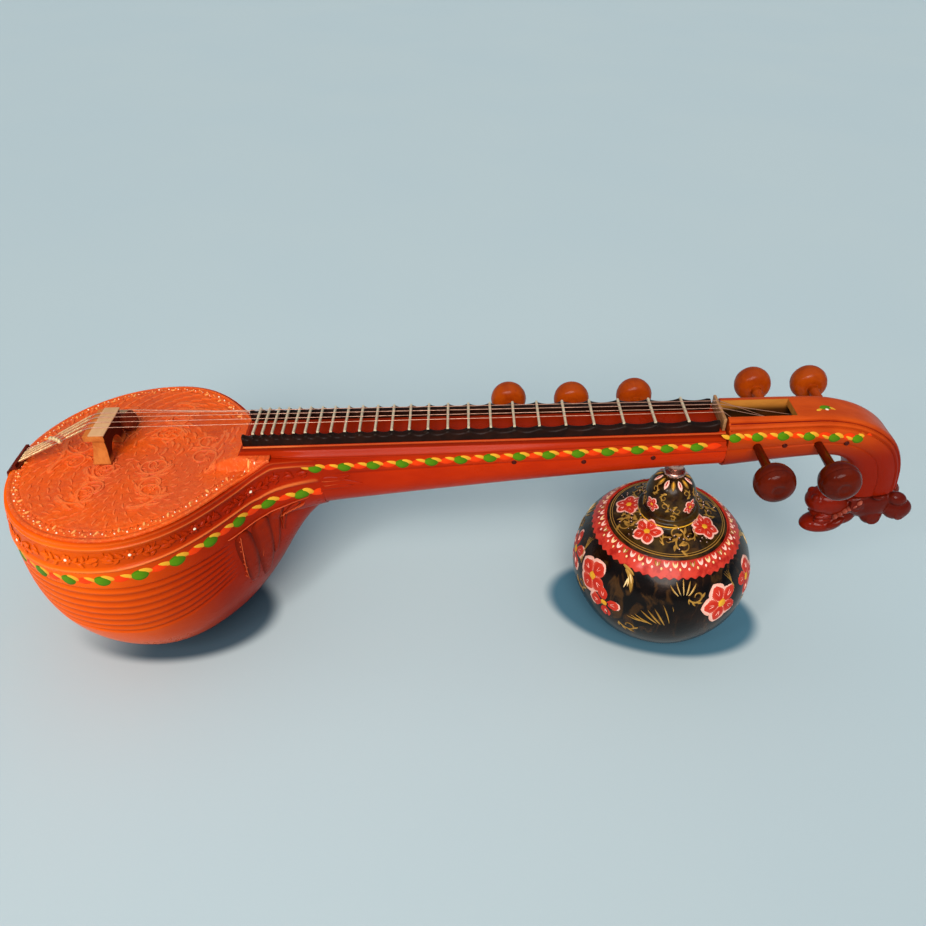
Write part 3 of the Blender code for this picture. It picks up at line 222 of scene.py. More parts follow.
def makeBoardLacquer():
    paint = Paint("boardLacquer")
    warm = (232, 86, 18)
    salmon = (212, 82, 36)
    shade = (150, 30, 4)
    pale = (250, 158, 84)
    clouds = paint.patches(0.34, 0.66, 11.0, 4.0, 0.6)
    colour = paint.blend(warm, salmon, clouds)
    dust = paint.patches(0.50, 0.72, 150.0, 5.0, 0.7)
    colour = paint.blend(colour, pale, dust * 0.22)
    away = paint.awayFrom(restPose["footX"])
    sparks = paint.patches(0.58, 0.66, 330.0, 4.0, 0.75)
    colour = paint.blend(colour, pale, sparks * paint.fade(away, 0.140, 0.172) * 0.8)
    tooling = paint.cells(170.0)
    colour = paint.blend(colour, shade, paint.fade(0.30 - tooling, 0.0, 0.22) * 0.18)
    folds = paint.patches(0.50, 0.60, 62.0, 3.0, 0.55, warp=1.2)
    colour = paint.blend(colour, shade, folds * 0.10)
    # Painted shade in the carving's hollows, and a painted highlight on the backs of its leaves.
    colour = paint.blend(colour, shade, (1.0 - paint.relief()) * 0.70)
    colour = paint.blend(colour, (255, 142, 78), paint.fade(paint.relief(), 1.02, 1.5) * 0.32)
    roughness = 0.36 + dust * 0.14
    bumps = (tooling * 0.8 + paint.noise(300.0, 3.0, 0.6) * 0.5
             + paint.noise(62.0, 3.0, 0.55, warp=1.2) * 2.2)
    return paint.finish(colour, roughness, 0.0, 0.02, bumps, 0.0006, specular=0.08)


def makeWax():
    paint = Paint("blackWax")
    swirls = paint.patches(0.35, 0.75, 38.0, 4.0, 0.6, warp=0.6)
    grimeAndSheen = paint.patches(0.45, 0.75, 260.0, 4.0, 0.65)
    # The top is painted darker than the sides, and on it lie patches of grime and painted
    # grey-brown sheen.
    top = paint.fade(paint.z, 0.0485, 0.0535)
    colour = paint.blend((26, 9, 4), (52, 22, 10), swirls * 0.6)
    colour = paint.blend(colour, (22, 14, 10), top * 0.8)
    colour = paint.blend(colour, (96, 72, 52), grimeAndSheen * top * 0.25)
    roughness = 0.36 + grimeAndSheen * 0.22 - swirls * 0.08
    bumps = paint.noise(120.0, 4.0, 0.6) + paint.noise(26.0, 2.0, 0.5) * 1.5
    return paint.finish(colour, roughness, 0.0, 0.0, bumps, 0.0005, specular=0.08)


def makeMetal(name, bright, dull, rough, grain=(1.0, 0.06, 1.0), metal=1.0):
    paint = Paint(name)
    scratches = paint.noise(900.0, 3.0, 0.6, where=paint.stretched(grain))
    spots = paint.patches(0.46, 0.70, 140.0, 5.0, 0.65)
    colour = paint.blend(bright, dull, spots * 0.45)
    roughness = rough + spots * 0.16 + scratches * 0.12
    bumps = scratches + paint.noise(260.0, 3.0, 0.5) * 0.6
    return paint.finish(colour, roughness, metal, 0.0, bumps, 0.00012, specular=0.3)


def makeWood(name, light, dark, scales=(1.0, 0.18, 1.0), rough=0.34, coat=0.05, density=90.0,
             contrast=0.85, tipShade=None, front=None):
    # Grain runs along the axis with the smallest scale. The far pegs' ends in the near wall can be
    # painted dark, as shade in their holes, and the side that looks along the neck painted dark
    # above its foot, as shade.
    paint = Paint(name)
    grain = paint.noise(density, 5.0, 0.62, where=paint.stretched(scales), warp=0.4)
    pores = paint.noise(density * 7.0, 2.0, 0.5, where=paint.stretched(scales))
    clouds = paint.patches(0.3, 0.7, 14.0, 2.0, 0.5)
    colour = paint.blend(light, dark, paint.fade(grain, 0.36, 0.66) * contrast)
    colour = paint.blend(colour, dark, paint.fade(pores, 0.60, 0.75) * 0.35 + clouds * 0.15)
    if tipShade:
        # Painted shade on the far pegs' ends, which sit in dark holes in the near wall.
        colour = paint.blend(colour, tipShade, paint.fade(-1.0 * paint.y, 0.036, 0.038))
    if front:
        # Painted shade on the side that faces along the neck, above its foot.
        facing = paint.node("ShaderNodeNewGeometry", {}, {}, "Normal")
        ahead = paint.fade(paint.split(facing)[0], 0.35, 0.75)
        colour = paint.blend(colour, front, ahead * paint.fade(paint.z, 0.014, 0.024))
    roughness = rough + paint.fade(grain, 0.3, 0.7) * 0.12
    return paint.finish(colour, roughness, 0.0, coat, grain * 0.7 + pores * 0.5, 0.00020)


def makeStroke(name, middle, edge, shade, rough=0.34, metal=0.0):
    # Brushed paint: the uv map runs along the stroke and across it.
    paint = Paint(name)
    along, across = paint.uv()
    side = abs(across - 0.5) * 2.0
    hairs = paint.noise(700.0, 3.0, 0.6)
    colour = paint.blend(middle, edge, paint.fade(side + hairs * 0.35, 0.65, 1.15))
    colour = paint.blend(colour, shade, paint.fade(along + hairs * 0.3, 0.35, 1.20) * 0.55)
    roughness = rough + hairs * 0.14
    bumps = hairs + paint.noise(160.0, 2.0, 0.5)
    return paint.finish(colour, roughness, metal, 0.04, bumps, 0.0002)


def makeHeadLacquer():
    # The peg box: ochre inside its well, with painted shade in its depth, and lighter on top as a
    # painted sheen.
    paint = Paint("headLacquer")
    clouds = paint.patches(0.32, 0.70, 10.0, 3.0, 0.55)
    streaks = paint.streaks()
    # Lighter towards the top: painted sheen on the crown.
    down = paint.fade(paint.z, -0.020, 0.050)
    colour = paint.blend((136, 26, 3), (204, 76, 18), down)
    colour = paint.blend(colour, (140, 24, 3), clouds * 0.30 + streaks * 0.25)
    inside = ((abs(paint.y) < 0.0203) * (paint.z > 0.0032) * (paint.x < 1.046)
              * (1.0 - (paint.x > 0.9615) * (paint.z > 0.0450)) * (paint.z < 0.0546))
    # Painted shade on the well's floor, ochre higher up its walls.
    well = paint.blend((24, 18, 7), (206, 132, 52), paint.fade(paint.z, 0.036, 0.049))
    well = paint.blend(well, (120, 60, 18), streaks * 0.4)
    colour = paint.blend(colour, well, inside)
    roughness = 0.28 + clouds * 0.06 + streaks * 0.05 + inside * 0.2
    bumps = paint.noise(220.0, 3.0, 0.55) * 0.5 + paint.noise(32.0, 2.0, 0.5)
    return paint.finish(colour, roughness, 0.0, 0.03, bumps, 0.00035)


def makeGourdLacquer():
    # Black-brown lacquer with a red band round the seam, drawn by distance from the gourd's axis.
    paint = Paint("gourdLacquer")
    away = paint.awayFrom(restPose["gourdX"])
    sheen = paint.patches(0.42, 0.72, 12.0, 4.0, 0.6)
    brushedAndSheen = paint.patches(0.50, 0.72, 40.0, 4.0, 0.6, where=paint.stretched((1.0, 1.0, 0.4)),
                            warp=1.5)
    colour = paint.blend((10, 5, 3), (42, 20, 8), sheen * 0.8)
    # Bronze patches: brush strokes, which also stand for painted sheen.
    colour = paint.blend(colour, (104, 66, 26), brushedAndSheen * 0.38)
    olive = paint.fade(paint.z, -0.156, -0.152) * paint.patches(0.35, 0.7, 46.0, 3.0, 0.6)
    colour = paint.blend(colour, (74, 52, 16), olive * 0.75)
    upper = paint.fade(paint.z, -0.200, -0.180)
    angle = paint.sum("ARCTAN2", paint.y, paint.x - restPose["gourdX"])
    wave = paint.sum("SINE", angle * 56.0) * 0.0010
    band = (paint.fade(away, 0.0908, 0.0914) * upper
            * (1.0 - paint.fade(away + wave, 0.1120, 0.1128)))
    rouge = paint.blend((206, 58, 40), (166, 30, 20), paint.patches(0.4, 0.7, 90.0))
    colour = paint.blend(colour, rouge, band)
    roughness = 0.20 + sheen * 0.10 + band * 0.16
    bumps = paint.noise(90.0, 4.0, 0.6) + band * 1.5
    return paint.finish(colour, roughness, 0.0, 0.14, bumps, 0.0003, specular=0.10)


# The two soft shadows under the instrument: centre, radii, where each starts to fade, its slope,
# its colour, and whether it fades to the left.
floorShadows = ((0.782, -0.002, 0.180, 0.106, 0.90, 0.13, (62, 106, 124), False),
                (-0.019, -0.030, 0.178, 0.110, 0.86, 0.0, (46, 68, 82), True))


def makeFloorPaint():
    paint = Paint("paleFloor")
    clouds = paint.patches(0.3, 0.7, 1.4, 3.0, 0.5, where=paint.object)
    grain = paint.noise(240.0, 3.0, 0.6, where=paint.object)
    colour = paint.blend((187, 198, 198), (185, 197, 198), clouds)
    across, away, _ = paint.split(paint.object)
    for x, y, wide, deep, start, slope, tint, leans in floorShadows:
        u, v = (across - x) / wide, (away - y + (across - x) * slope) / deep
        dark = 1.0 - paint.fade(paint.sum("SQRT", u * u + v * v) + clouds * 0.02, start, 1.05)
        if leans:
            dark = dark * paint.fade(u, -1.0, 0.0)
        colour = paint.blend(colour, tint, dark * 0.95)
    return paint.finish(colour, 0.75 + grain * 0.1, 0.0, 0.0, grain, 0.0001, specular=0.1)


# The bowl darkens towards the neck: painted shade on the side turned from the light, running into
# the neck's red.
makeLacquer("bowlLacquer", (246, 100, 10), (232, 76, 4), (120, 16, 2),
            far=((166, 34, 2), (138, 22, 1)), usesRelief=True)
makeBoardLacquer()
# The neck is darker at its root than further along: painted shade there.
makeLacquer("neckLacquer", (168, 35, 2), (140, 23, 1), (100, 12, 2),
            far=((190, 44, 2), (164, 28, 1)), usesRelief=True, farSpan=(0.29, 0.42))
makeLacquer("mouldingLacquer", (176, 44, 8), (150, 28, 3), (84, 10, 2), usesRelief=True)
# A darker copy of the red lacquer for the root: painted shade, as the root faces away from the
# light.
makeLacquer("shadedRootLacquer", (160, 36, 3), (118, 18, 1), (44, 5, 1), usesRelief=True)
makeHeadLacquer()
makeLacquer("beastLacquer", (136, 28, 6), (84, 12, 3), (40, 5, 2),
            far=((104, 24, 9), (62, 10, 4)), rough=0.09, coat=0.16, farSpan=(1.040, 1.080))
makeWax()
makeGourdLacquer()
makeMetal("fretBrass", (222, 198, 162), (174, 142, 106), 0.28, metal=0.3)
makeMetal("steel", (200, 148, 122), (146, 94, 74), 0.30, (0.06, 1.0, 1.0), metal=0.6)
makeMetal("goldWire", (250, 214, 156), (196, 128, 70), 0.22, metal=0.5)
makeMetal("stalkMetal", (206, 160, 144), (92, 40, 36), 0.18)
makeWood("bone", (178, 126, 82), (130, 84, 50), rough=0.36, density=160.0)
makeWood("ribPaint", (168, 84, 64), (126, 42, 26), rough=0.24, coat=0.15)
makeWood("bridgeWood", (208, 122, 56), (182, 92, 36), (1.0, 0.16, 0.5), rough=0.42, coat=0.02,
         front=(78, 20, 8))
makeWood("darkWood", (146, 58, 30), (84, 28, 14), (1.0, 0.2, 0.6), density=60.0)
makeWood("capBrass", (210, 160, 114), (190, 136, 92), rough=0.42, contrast=0.4)
makeWood("tailMetal", (120, 36, 16), (52, 16, 8), rough=0.30)
makeWood("pegOrange", (166, 64, 6), (126, 34, 3), (1.0, 0.3, 1.0), rough=0.16, coat=0.12,
         density=36.0, contrast=0.5, tipShade=(70, 16, 6))
makeWood("pegRed", (94, 22, 4), (58, 10, 2), (1.0, 0.3, 1.0), rough=0.10, coat=0.10,
         density=36.0, contrast=0.5)
makeStroke("goldPaint", (184, 134, 58), (120, 80, 28), (92, 58, 18), rough=0.26, metal=0.3)
# The middle, the edge and the shaded end of each brush stroke.
strokeTints = {"leafGreen": ((86, 132, 10), (62, 104, 4), (40, 84, 4)),
               "leafYellow": ((230, 168, 44), (220, 140, 34), (212, 114, 24)),
               "petalRed": ((240, 62, 8), (226, 50, 6), (214, 40, 4)),
               "petalRose": ((196, 42, 26), (222, 92, 70), (212, 66, 46)),
               "petalWhite": ((250, 206, 186), (240, 178, 156), (232, 150, 128)),
               # Pale strokes that paint highlights on carved folds.
               "foldHighlight": ((206, 88, 46), (160, 46, 16), (140, 34, 10)),
               "creamDot": ((252, 236, 208), (246, 214, 170), (246, 210, 160)),
               # Dark red that paints shade in the head's moulding grooves.
               "grooveShade": ((112, 16, 3), (150, 26, 4), (120, 18, 3)),
               "paleDot": ((248, 170, 96), (240, 132, 60), (240, 140, 64)),
               "paleGold": ((250, 214, 150), (222, 168, 96), (206, 150, 84)),
               "grapeDot": ((26, 16, 10), (88, 60, 26), (50, 32, 14))}
for inkName, inkTints in strokeTints.items():
    makeStroke(inkName, *inkTints)
print("finishes made:", len(finishes))


# Camera, floor and lights

stageSettings = {"focal": 789.15, "frame": 926.0, "pitch": 38.84, "yaw": -1.152, "roll": -2.233,
                 "eye": (0.5192, -0.8989, 0.6941), "floorSize": 60.0, "skyLevel": 0.30,
                 "skyColour": (0.42, 0.74, 1.0)}
# Name, direction that the light travels, its size in the sky in degrees, strength, colour.
sunLamps = (("keySun", (0.20, 1.15, -1.0), 36.0, 2.8, (1.0, 0.96, 0.92)),
            ("topSun", (0.0, 0.2, -1.0), 90.0, 0.75, (1.0, 0.98, 0.95)))
# Name, place, the spot that it faces, its two sides in metres, strength.
windowLamp = ("windowPane", (-0.25, -1.05, 1.30), (0.6, 0.0, 0.1), (0.18, 0.20), 4.2)


def makeCamera():
    pitch, yaw, roll = (math.radians(stageSettings[k]) for k in ("pitch", "yaw", "roll"))
    ahead = Vector((math.sin(yaw) * math.cos(pitch), math.cos(yaw) * math.cos(pitch),
                    -math.sin(pitch)))
    level = Vector((math.cos(yaw), -math.sin(yaw), 0.0))
    above = level.cross(ahead)
    right = level * math.cos(roll) + above * math.sin(roll)
    up = -level * math.sin(roll) + above * math.cos(roll)
    axes = Matrix((right, up, -ahead)).transposed().to_4x4()
    data = bpy.data.cameras.new("viewCamera")
    data.sensor_width = 36.0
    data.lens = 36.0 * stageSettings["focal"] / stageSettings["frame"]
    data.clip_start, data.clip_end = 0.05, 60.0
    camera = bpy.data.objects.new("viewCamera", data)
    bpy.context.scene.collection.objects.link(camera)
    camera.matrix_world = restMatrix @ Matrix.Translation(stageSettings["eye"]) @ axes
    bpy.context.scene.camera = camera


def placeLamp(data, place, ahead):
    lamp = bpy.data.objects.new(data.name, data)
    bpy.context.scene.collection.objects.link(lamp)
    lamp.location = place
    lamp.rotation_euler = ahead.to_track_quat("-Z", "Y").to_euler()


def makeSun(name, direction, size, power, colour):
    data = bpy.data.lights.new(name, "SUN")
    data.angle = math.radians(size)
    data.energy = power
    data.color = colour
    placeLamp(data, -2.0 * Vector(direction), Vector(direction))


def makeWindow(name, place, target, size, power):
    # A small bright pane, for the highlights.
    data = bpy.data.lights.new(name, "AREA")
    data.shape = "RECTANGLE"
    data.size, data.size_y = size
    data.energy = power
    placeLamp(data, place, Vector(target) - Vector(place))


def makeStage():
    bpy.ops.object.select_all(action="DESELECT")
    bpy.ops.mesh.primitive_plane_add(size=stageSettings["floorSize"], location=(0.5, 0.0, 0.0))
    floor = bpy.context.active_object
    floor.name = "floor"
    bpy.ops.object.transform_apply(location=True, rotation=True, scale=True)
    floor.data.materials.append(makeFloorPaint())
    world = bpy.data.worlds.new("softSky")
    bpy.context.scene.world = world
    world.use_nodes = True
    background = world.node_tree.nodes["Background"]
    background.inputs["Color"].default_value = (*stageSettings["skyColour"], 1.0)
    background.inputs["Strength"].default_value = stageSettings["skyLevel"]
    for lamp in sunLamps:
        makeSun(*lamp)
    makeWindow(*windowLamp)
    bpy.context.scene.view_settings.view_transform = "Standard"


makeCamera()
makeStage()
print("camera, floor and lamps placed")


# Mesh helpers

def easeIn(t):
    t = np.clip(t, 0.0, 1.0)
    return t * t * (3.0 - 2.0 * t)


def lerp(a, b, t):
    return a + (b - a) * t


def throughPoints(points, steps):
    # A smooth curve through the rows of points.
    rows = np.asarray(points, float)
    padded = np.vstack([rows[:1], rows, rows[-1:]])
    path = []
    for i in range(1, len(padded) - 2):
        p0, p1, p2, p3 = padded[i - 1:i + 3]
        for k in range(steps):
            t = k / steps
            path.append(0.5 * (2 * p1 + (p2 - p0) * t + (2 * p0 - 5 * p1 + 4 * p2 - p3) * t * t
                               + (3 * p1 - p0 - 3 * p2 + p3) * t ** 3))
    path.append(rows[-1])
    return np.array(path)


def pairs(*curves):
    # Curves of rows of two numbers, one after the other.
    return [(float(a), float(b)) for a, b in np.vstack(curves)]


def headingAt(path, i):
    # Direction in which a flat path runs at its point i.
    return math.atan2(*(path[i + 1] - path[i])[::-1])


def mirrored(spot):
    # The same place on the far side.
    def far(u, v):
        point = spot(u, v)
        point[:, 1] *= -1.0
        return point
    return far


def skin(name, rows, capped=True):
    # Rings of points, joined in order and closed at both ends.
    rows = np.asarray(rows, float)
    count = rows.shape[1]
    faces = []
    for i in range(len(rows) - 1):
        low, high = i * count, (i + 1) * count
        for j in range(count):
            k = (j + 1) % count
            faces.append((low + j, low + k, high + k, high + j))
    if capped:
        faces.append(tuple(range(count))[::-1])
        faces.append(tuple(range((len(rows) - 1) * count, len(rows) * count)))
    return meshPiece(name, rows.reshape(-1, 3), faces)


def meshPiece(name, points, faces, turnOut=True):
    mesh = bpy.data.meshes.new(name)
    mesh.from_pydata([tuple(p) for p in points], [], faces)
    if turnOut:
        bm = bmesh.new()
        bm.from_mesh(mesh)
        bmesh.ops.recalc_face_normals(bm, faces=bm.faces)
        bm.to_mesh(mesh)
        bm.free()
    piece = bpy.data.objects.new(name, mesh)
    bpy.context.scene.collection.objects.link(piece)
    return piece


def pick(piece):
    bpy.ops.object.select_all(action="DESELECT")
    piece.select_set(True)
    bpy.context.view_layer.objects.active = piece


def settle(piece, paints, replaced=(), angle=40.0, body="instrument"):
    # From the level frame into the pose in which the instrument rests.
    pick(piece)
    piece.matrix_world = restMatrix @ piece.matrix_world
    bpy.ops.object.transform_apply(location=True, rotation=True, scale=True)
    bpy.ops.object.shade_smooth_by_angle(angle=math.radians(angle))
    for paint in paints:
        piece.data.materials.append(finishes[paint])
    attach(piece, body)
    if replaced:
        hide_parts(*replaced)
    return piece


def addModifier(piece, kind, **settings):
    pick(piece)
    modifier = piece.modifiers.new(kind.lower(), kind)
    for key, value in settings.items():
        setattr(modifier, key, value)
    bpy.ops.object.modifier_apply(modifier=modifier.name)


def turnedPiece(name, profile, sides):
    # A disc, extruded and resized ring by ring up its profile of (radius, height).
    bpy.ops.object.select_all(action="DESELECT")
    radius, height = profile[0]
    bpy.ops.mesh.primitive_circle_add(vertices=sides, radius=radius, fill_type="NGON",
                                      location=(0.0, 0.0, height))
    piece = bpy.context.active_object
    piece.name = name
    bpy.ops.object.mode_set(mode="EDIT")
    bpy.ops.mesh.select_all(action="SELECT")
    for nextRadius, nextHeight in profile[1:]:
        bpy.ops.mesh.extrude_region_move(
            TRANSFORM_OT_translate={"value": (0.0, 0.0, nextHeight - height)})
        size = nextRadius / radius
        bpy.ops.transform.resize(value=(size, size, 1.0), center_override=(0.0, 0.0, nextHeight))
        radius, height = nextRadius, nextHeight
    bpy.ops.mesh.select_all(action="SELECT")
    bpy.ops.mesh.normals_make_consistent(inside=False)
    bpy.ops.object.mode_set(mode="OBJECT")
    return piece


def joinPieces(name, pieces):
    pick(pieces[0])
    for piece in pieces:
        piece.select_set(True)
    bpy.ops.object.join()
    pieces[0].name = name
    return pieces[0]


def cutWith(piece, tool, operation="DIFFERENCE"):
    addModifier(piece, "BOOLEAN", operation=operation, solver="EXACT", object=tool)
    bpy.data.objects.remove(tool)


def roundEdges(piece, width, segments, angle):
    addModifier(piece, "BEVEL", width=width, segments=segments, limit_method="ANGLE",
                angle_limit=math.radians(angle))


def keepAbove(piece, x, floor, isOpen):
    # Cuts a piece off at the floor below x, and leaves it in edit mode. An open shell has its
    # seam merged first, and its cut isn't filled.
    pick(piece)
    bpy.ops.object.mode_set(mode="EDIT")
    bpy.ops.mesh.select_all(action="SELECT")
    if isOpen:
        bpy.ops.mesh.remove_doubles(threshold=0.00001)
    bpy.ops.mesh.bisect(plane_co=(x, 0.0, floor), plane_no=floorNormal, use_fill=not isOpen,
                        clear_outer=True)


def standAt(piece, origin, axis):
    # Puts a piece that was turned about Z on its own axis.
    turn = Vector(axis).to_track_quat("Z", "Y").to_matrix().to_4x4()
    piece.matrix_world = Matrix.Translation(origin) @ turn @ piece.matrix_world
    return piece


def boxPiece(name, low, high, bevel=0.0, segments=2):
    bpy.ops.object.select_all(action="DESELECT")
    low, high = Vector(low), Vector(high)
    bpy.ops.mesh.primitive_cube_add(size=1.0, location=(low + high) / 2, scale=high - low)
    piece = bpy.context.active_object
    piece.name = name
    bpy.ops.object.transform_apply(location=True, rotation=True, scale=True)
    if bevel > 0.0:
        bpy.ops.object.mode_set(mode="EDIT")
        bpy.ops.mesh.select_all(action="SELECT")
        bpy.ops.mesh.bevel(offset=bevel, segments=segments, profile=0.5, affect="EDGES")
        bpy.ops.object.mode_set(mode="OBJECT")
    return piece


class Strokes:
    # Leaves, petals, stems and dots drawn flat, then laid on a surface with a little height.
    def __init__(self):
        self.points = []
        self.uvs = []
        self.faces = []
        self.kinds = []

    def blade(self, spine, widths, height, kind=0, across=4, vein=0.0, place=None, sink=0.00012):
        spine = np.asarray(spine, float)
        count = len(spine)
        along = np.gradient(spine, axis=0)
        along /= np.linalg.norm(along, axis=1, keepdims=True) + 1e-12
        left = np.stack([-along[:, 1], along[:, 0]], -1)
        base = len(self.points)
        share = np.linspace(0.0, 1.0, count)
        ends = np.minimum(1.0, np.minimum(share, 1.0 - share) * (count - 1) / 1.2)
        for i in range(count):
            for j in range(across + 1):
                t = 2.0 * j / across - 1.0
                u, v = spine[i] + left[i] * t * widths[i]
                dome = math.sqrt(max(0.0, 1.0 - t * t)) * ends[i]
                h = height * dome - vein * math.exp(-(t / 0.22) ** 2) * ends[i]
                if dome < 0.05:
                    h = -sink
                if place:
                    u, v = place(u, v)
                self.points.append((u, v, h))
                self.uvs.append((share[i], (t + 1.0) / 2.0))
        for i in range(count - 1):
            for j in range(across):
                a = base + i * (across + 1) + j
                self.faces.append((a, a + across + 1, a + across + 2, a + 1))
                self.kinds.append(kind)

    def leaf(self, start, heading, length, width, height, kind=0, bend=0.0, vein=0.0, steps=7,
             across=4, tip=0.45, blunt=0.8, place=None):
        # Widest at the share "tip" of its length.
        path = curl(start, heading, length, bend, bend, steps)
        s = np.linspace(0.0, 1.0, len(path))
        widths = width * np.sin(np.pi * s ** (math.log(0.5) / math.log(tip))) ** blunt
        self.blade(path, np.maximum(widths, 1e-5), height, kind, across, vein, place)

    def dot(self, centre, radius, height, kind=0, place=None):
        self.leaf((centre[0] - radius, centre[1]), 0.0, 2 * radius, radius, height, kind,
                  steps=6, across=4, tip=0.5, blunt=0.5, place=place)

    def flower(self, centre, radius, petals, height, kinds, turn=0.0, place=None, outline=0.0,
               width=0.36, blunt=0.55):
        for k in range(petals):
            angle = turn + 2 * math.pi * k / petals
            start = (centre[0] + math.cos(angle) * radius * 0.10,
                     centre[1] + math.sin(angle) * radius * 0.10)
            if outline > 0.0:
                self.leaf(start, angle, radius * 0.90 + outline, radius * width + outline,
                          height * 0.6, kinds[1], steps=10, tip=0.54, blunt=blunt, place=place)
            self.leaf(start, angle, radius * 0.88, radius * width, height, kinds[0], steps=10,
                      tip=0.54, blunt=blunt, vein=height * 0.25, place=place)
        self.dot(centre, radius * 0.24, height * 1.5, kinds[2], place)

    def lay(self, name, surface, outward=1.0):
        # Stands every point on the surface, along its normal.
        cloud = np.array(self.points, float)
        u, v, h = cloud[:, 0], cloud[:, 1], cloud[:, 2]
        step = 0.0002
        base = surface(u, v)
        alongU = surface(u + step, v) - base
        alongV = surface(u, v + step) - base
        normal = np.cross(alongU, alongV)
        normal /= np.linalg.norm(normal, axis=1, keepdims=True) + 1e-15
        faces = self.faces if outward > 0 else [f[::-1] for f in self.faces]
        points = base + normal * (outward * h)[:, None]
        piece = meshPiece(name, points, faces, turnOut=False)
        layer = piece.data.uv_layers.new(name="strokes")
        corners = np.zeros(len(piece.data.loops), dtype=int)
        piece.data.loops.foreach_get("vertex_index", corners)
        layer.data.foreach_set("uv", np.array(self.uvs)[corners].ravel())
        piece.data.polygons.foreach_set("material_index", self.kinds)
        return piece


def layBothSides(marks, name, nearSpot, paints, relief=None):
    for side, spot, outward in (("Near", nearSpot, 1.0), ("Far", mirrored(nearSpot), -1.0)):
        piece = marks.lay(name + side, spot, outward)
        if relief is not None:
            storeRelief(piece, relief)
        settle(piece, paints)


def reliefFromStrokes(marks, foot, crestHighlight=1.0):
    # Painted shade where a carved leaf meets its ground, none on its back, and a painted highlight
    # there when its crest value is over 1.
    sides = np.abs(np.array(marks.uvs)[:, 1] - 0.5) * 2.0
    return lerp(crestHighlight, foot, easeIn((sides - 0.30) / 0.70))


def curl(start, heading, length, bendStart, bendEnd, steps):
    # A line whose bend, in turns of a radian per metre, changes evenly along it.
    x, y = start
    path = [(x, y)]
    piece = length / steps
    for k in range(steps):
        bend = lerp(bendStart, bendEnd, (k + 0.5) / steps)
        heading += bend * piece / 2
        x += math.cos(heading) * piece
        y += math.sin(heading) * piece
        heading += bend * piece / 2
        path.append((x, y))
    return np.array(path)


# The relief values drive painted shade in the lacquers where below 1, and a painted highlight
# where well above 1.
def storeRelief(piece, values):
    attribute = piece.data.attributes.new("relief", "FLOAT", "POINT")
    attribute.data.foreach_set("value", np.asarray(values, np.float32).ravel())


# The sound bowl with its ridges, flutes and band

bowl = {"centreX": 0.033, "rim": 0.182, "belly": 0.19314, "bellyDrop": 0.1055, "fullness": 2.3,
        "depth": 0.3065, "squeeze": 0.07, "rootEnd": 0.300, "rootHalf": 0.0465,
        "rootBlend": 4.3, "rootFlare": 0.066, "rootRise": 0.020, "rampStart": 0.135,
        "rampShift": 0.052, "rampLength": 0.060, "rampSideY": 0.040, "rampSideWidth": 0.015,
        "rimFall": 0.006, "fallStart": 0.100, "sideBlend": 0.045, "wall": 0.007,
        "fluteTop": -0.0745, "fluteCount": 8, "fluteDepth": 0.0021}
# Level of the lower ridge, and the flutes' spacing, against the angle from the neck.
ridgeAngles = (0, 10.3, 14, 18.6, 36, 54, 71, 87, 99, 115, 180)
ridgeLevels = (-.024, -.024, -.030, -.035, -.0345, -.035, -.0375, -.0415, -.044, -.048, -.050)
fluteAngles = (0, 38, 48, 64, 85, 180)
fluteSteps = (.0075, .0082, .0095, .0115, .0130, .0136)

neck = {"end": 0.8662, "halfBody": 0.0455, "halfNut": 0.0425, "dropBody": 0.083, "dropNut": 0.028,
        "curve": 1.25, "roundBody": 0.053, "roundNut": 0.033, "top": 0.020, "groove": 0.0011,
        "grooveDrop": 0.0100, "grooveWidth": 0.0009}


def aroundBowl(radius, angle):
    # x and y at a distance from the bowl's axis.
    return bowl["centreX"] + radius * np.cos(angle), radius * np.sin(angle)


def bowlRadius(z):
    rim, belly, drop = bowl["rim"], bowl["belly"], bowl["bellyDrop"]
    height = drop / math.sqrt(1.0 - (rim / belly) ** 2)
    above = ((z + drop) / height) ** 2
    below = np.maximum(0.0, -(z + drop) / (bowl["depth"] - drop)) ** bowl["fullness"]
    return belly * np.sqrt(np.maximum(0.0, 1.0 - np.where(z > -drop, above, below)))


def pearShare(angle):
    return 1.0 - bowl["squeeze"] * easeIn((math.radians(85) - np.abs(angle)) / math.radians(50))


def rootReach(z):
    end = bowl["rootEnd"] - bowl["centreX"]
    drop = neck["dropBody"]
    t = np.clip((neck["roundBody"] - drop - z) / neck["roundBody"], 0.0, 1.0)
    share = neck["halfBody"] * np.sqrt(1.0 - t * t) / bowl["rootHalf"]
    above = end / np.sqrt(1.0 - share * share)
    own = bowlRadius(z) * pearShare(0.0)
    keel = bowlRadius(np.array(-drop)) * pearShare(0.0)
    reach = own + (end - keel) * np.exp(np.minimum(0.0, z + drop) / bowl["rootFlare"])
    power = bowl["rootBlend"]
    below = np.maximum(reach ** power - own ** power, 1e-12) ** (1.0 / power)
    return np.where(z > -drop, above, below)


def blendedRadius(angle, z):
    own = bowlRadius(z) * pearShare(angle)
    forward = np.cos(angle)
    side = np.sin(angle) / bowl["rootHalf"]
    root = 1.0 / np.sqrt(side * side + (forward / rootReach(z)) ** 2)
    power = bowl["rootBlend"]
    return np.where(forward > 0.0, (own ** power + root ** power) ** (1.0 / power), own)


def outlineRadius(angle, z):
    forward = np.cos(angle)
    end = (bowl["rootEnd"] - bowl["centreX"]) / np.maximum(forward, 1e-6)
    radius = blendedRadius(angle, z)
    return np.where(forward > 1e-6, np.minimum(radius, end), radius)


def cornerAngle(z):
    low, high = 0.0, math.radians(40)
    end = bowl["rootEnd"] - bowl["centreX"]
    if float(blendedRadius(low, z)) <= end:
        return math.radians(1.2)
    for _ in range(30):
        middle = 0.5 * (low + high)
        if float(blendedRadius(middle, z)) * math.cos(middle) > end:
            low = middle
        else:
            high = middle
    return max(low, math.radians(1.2))


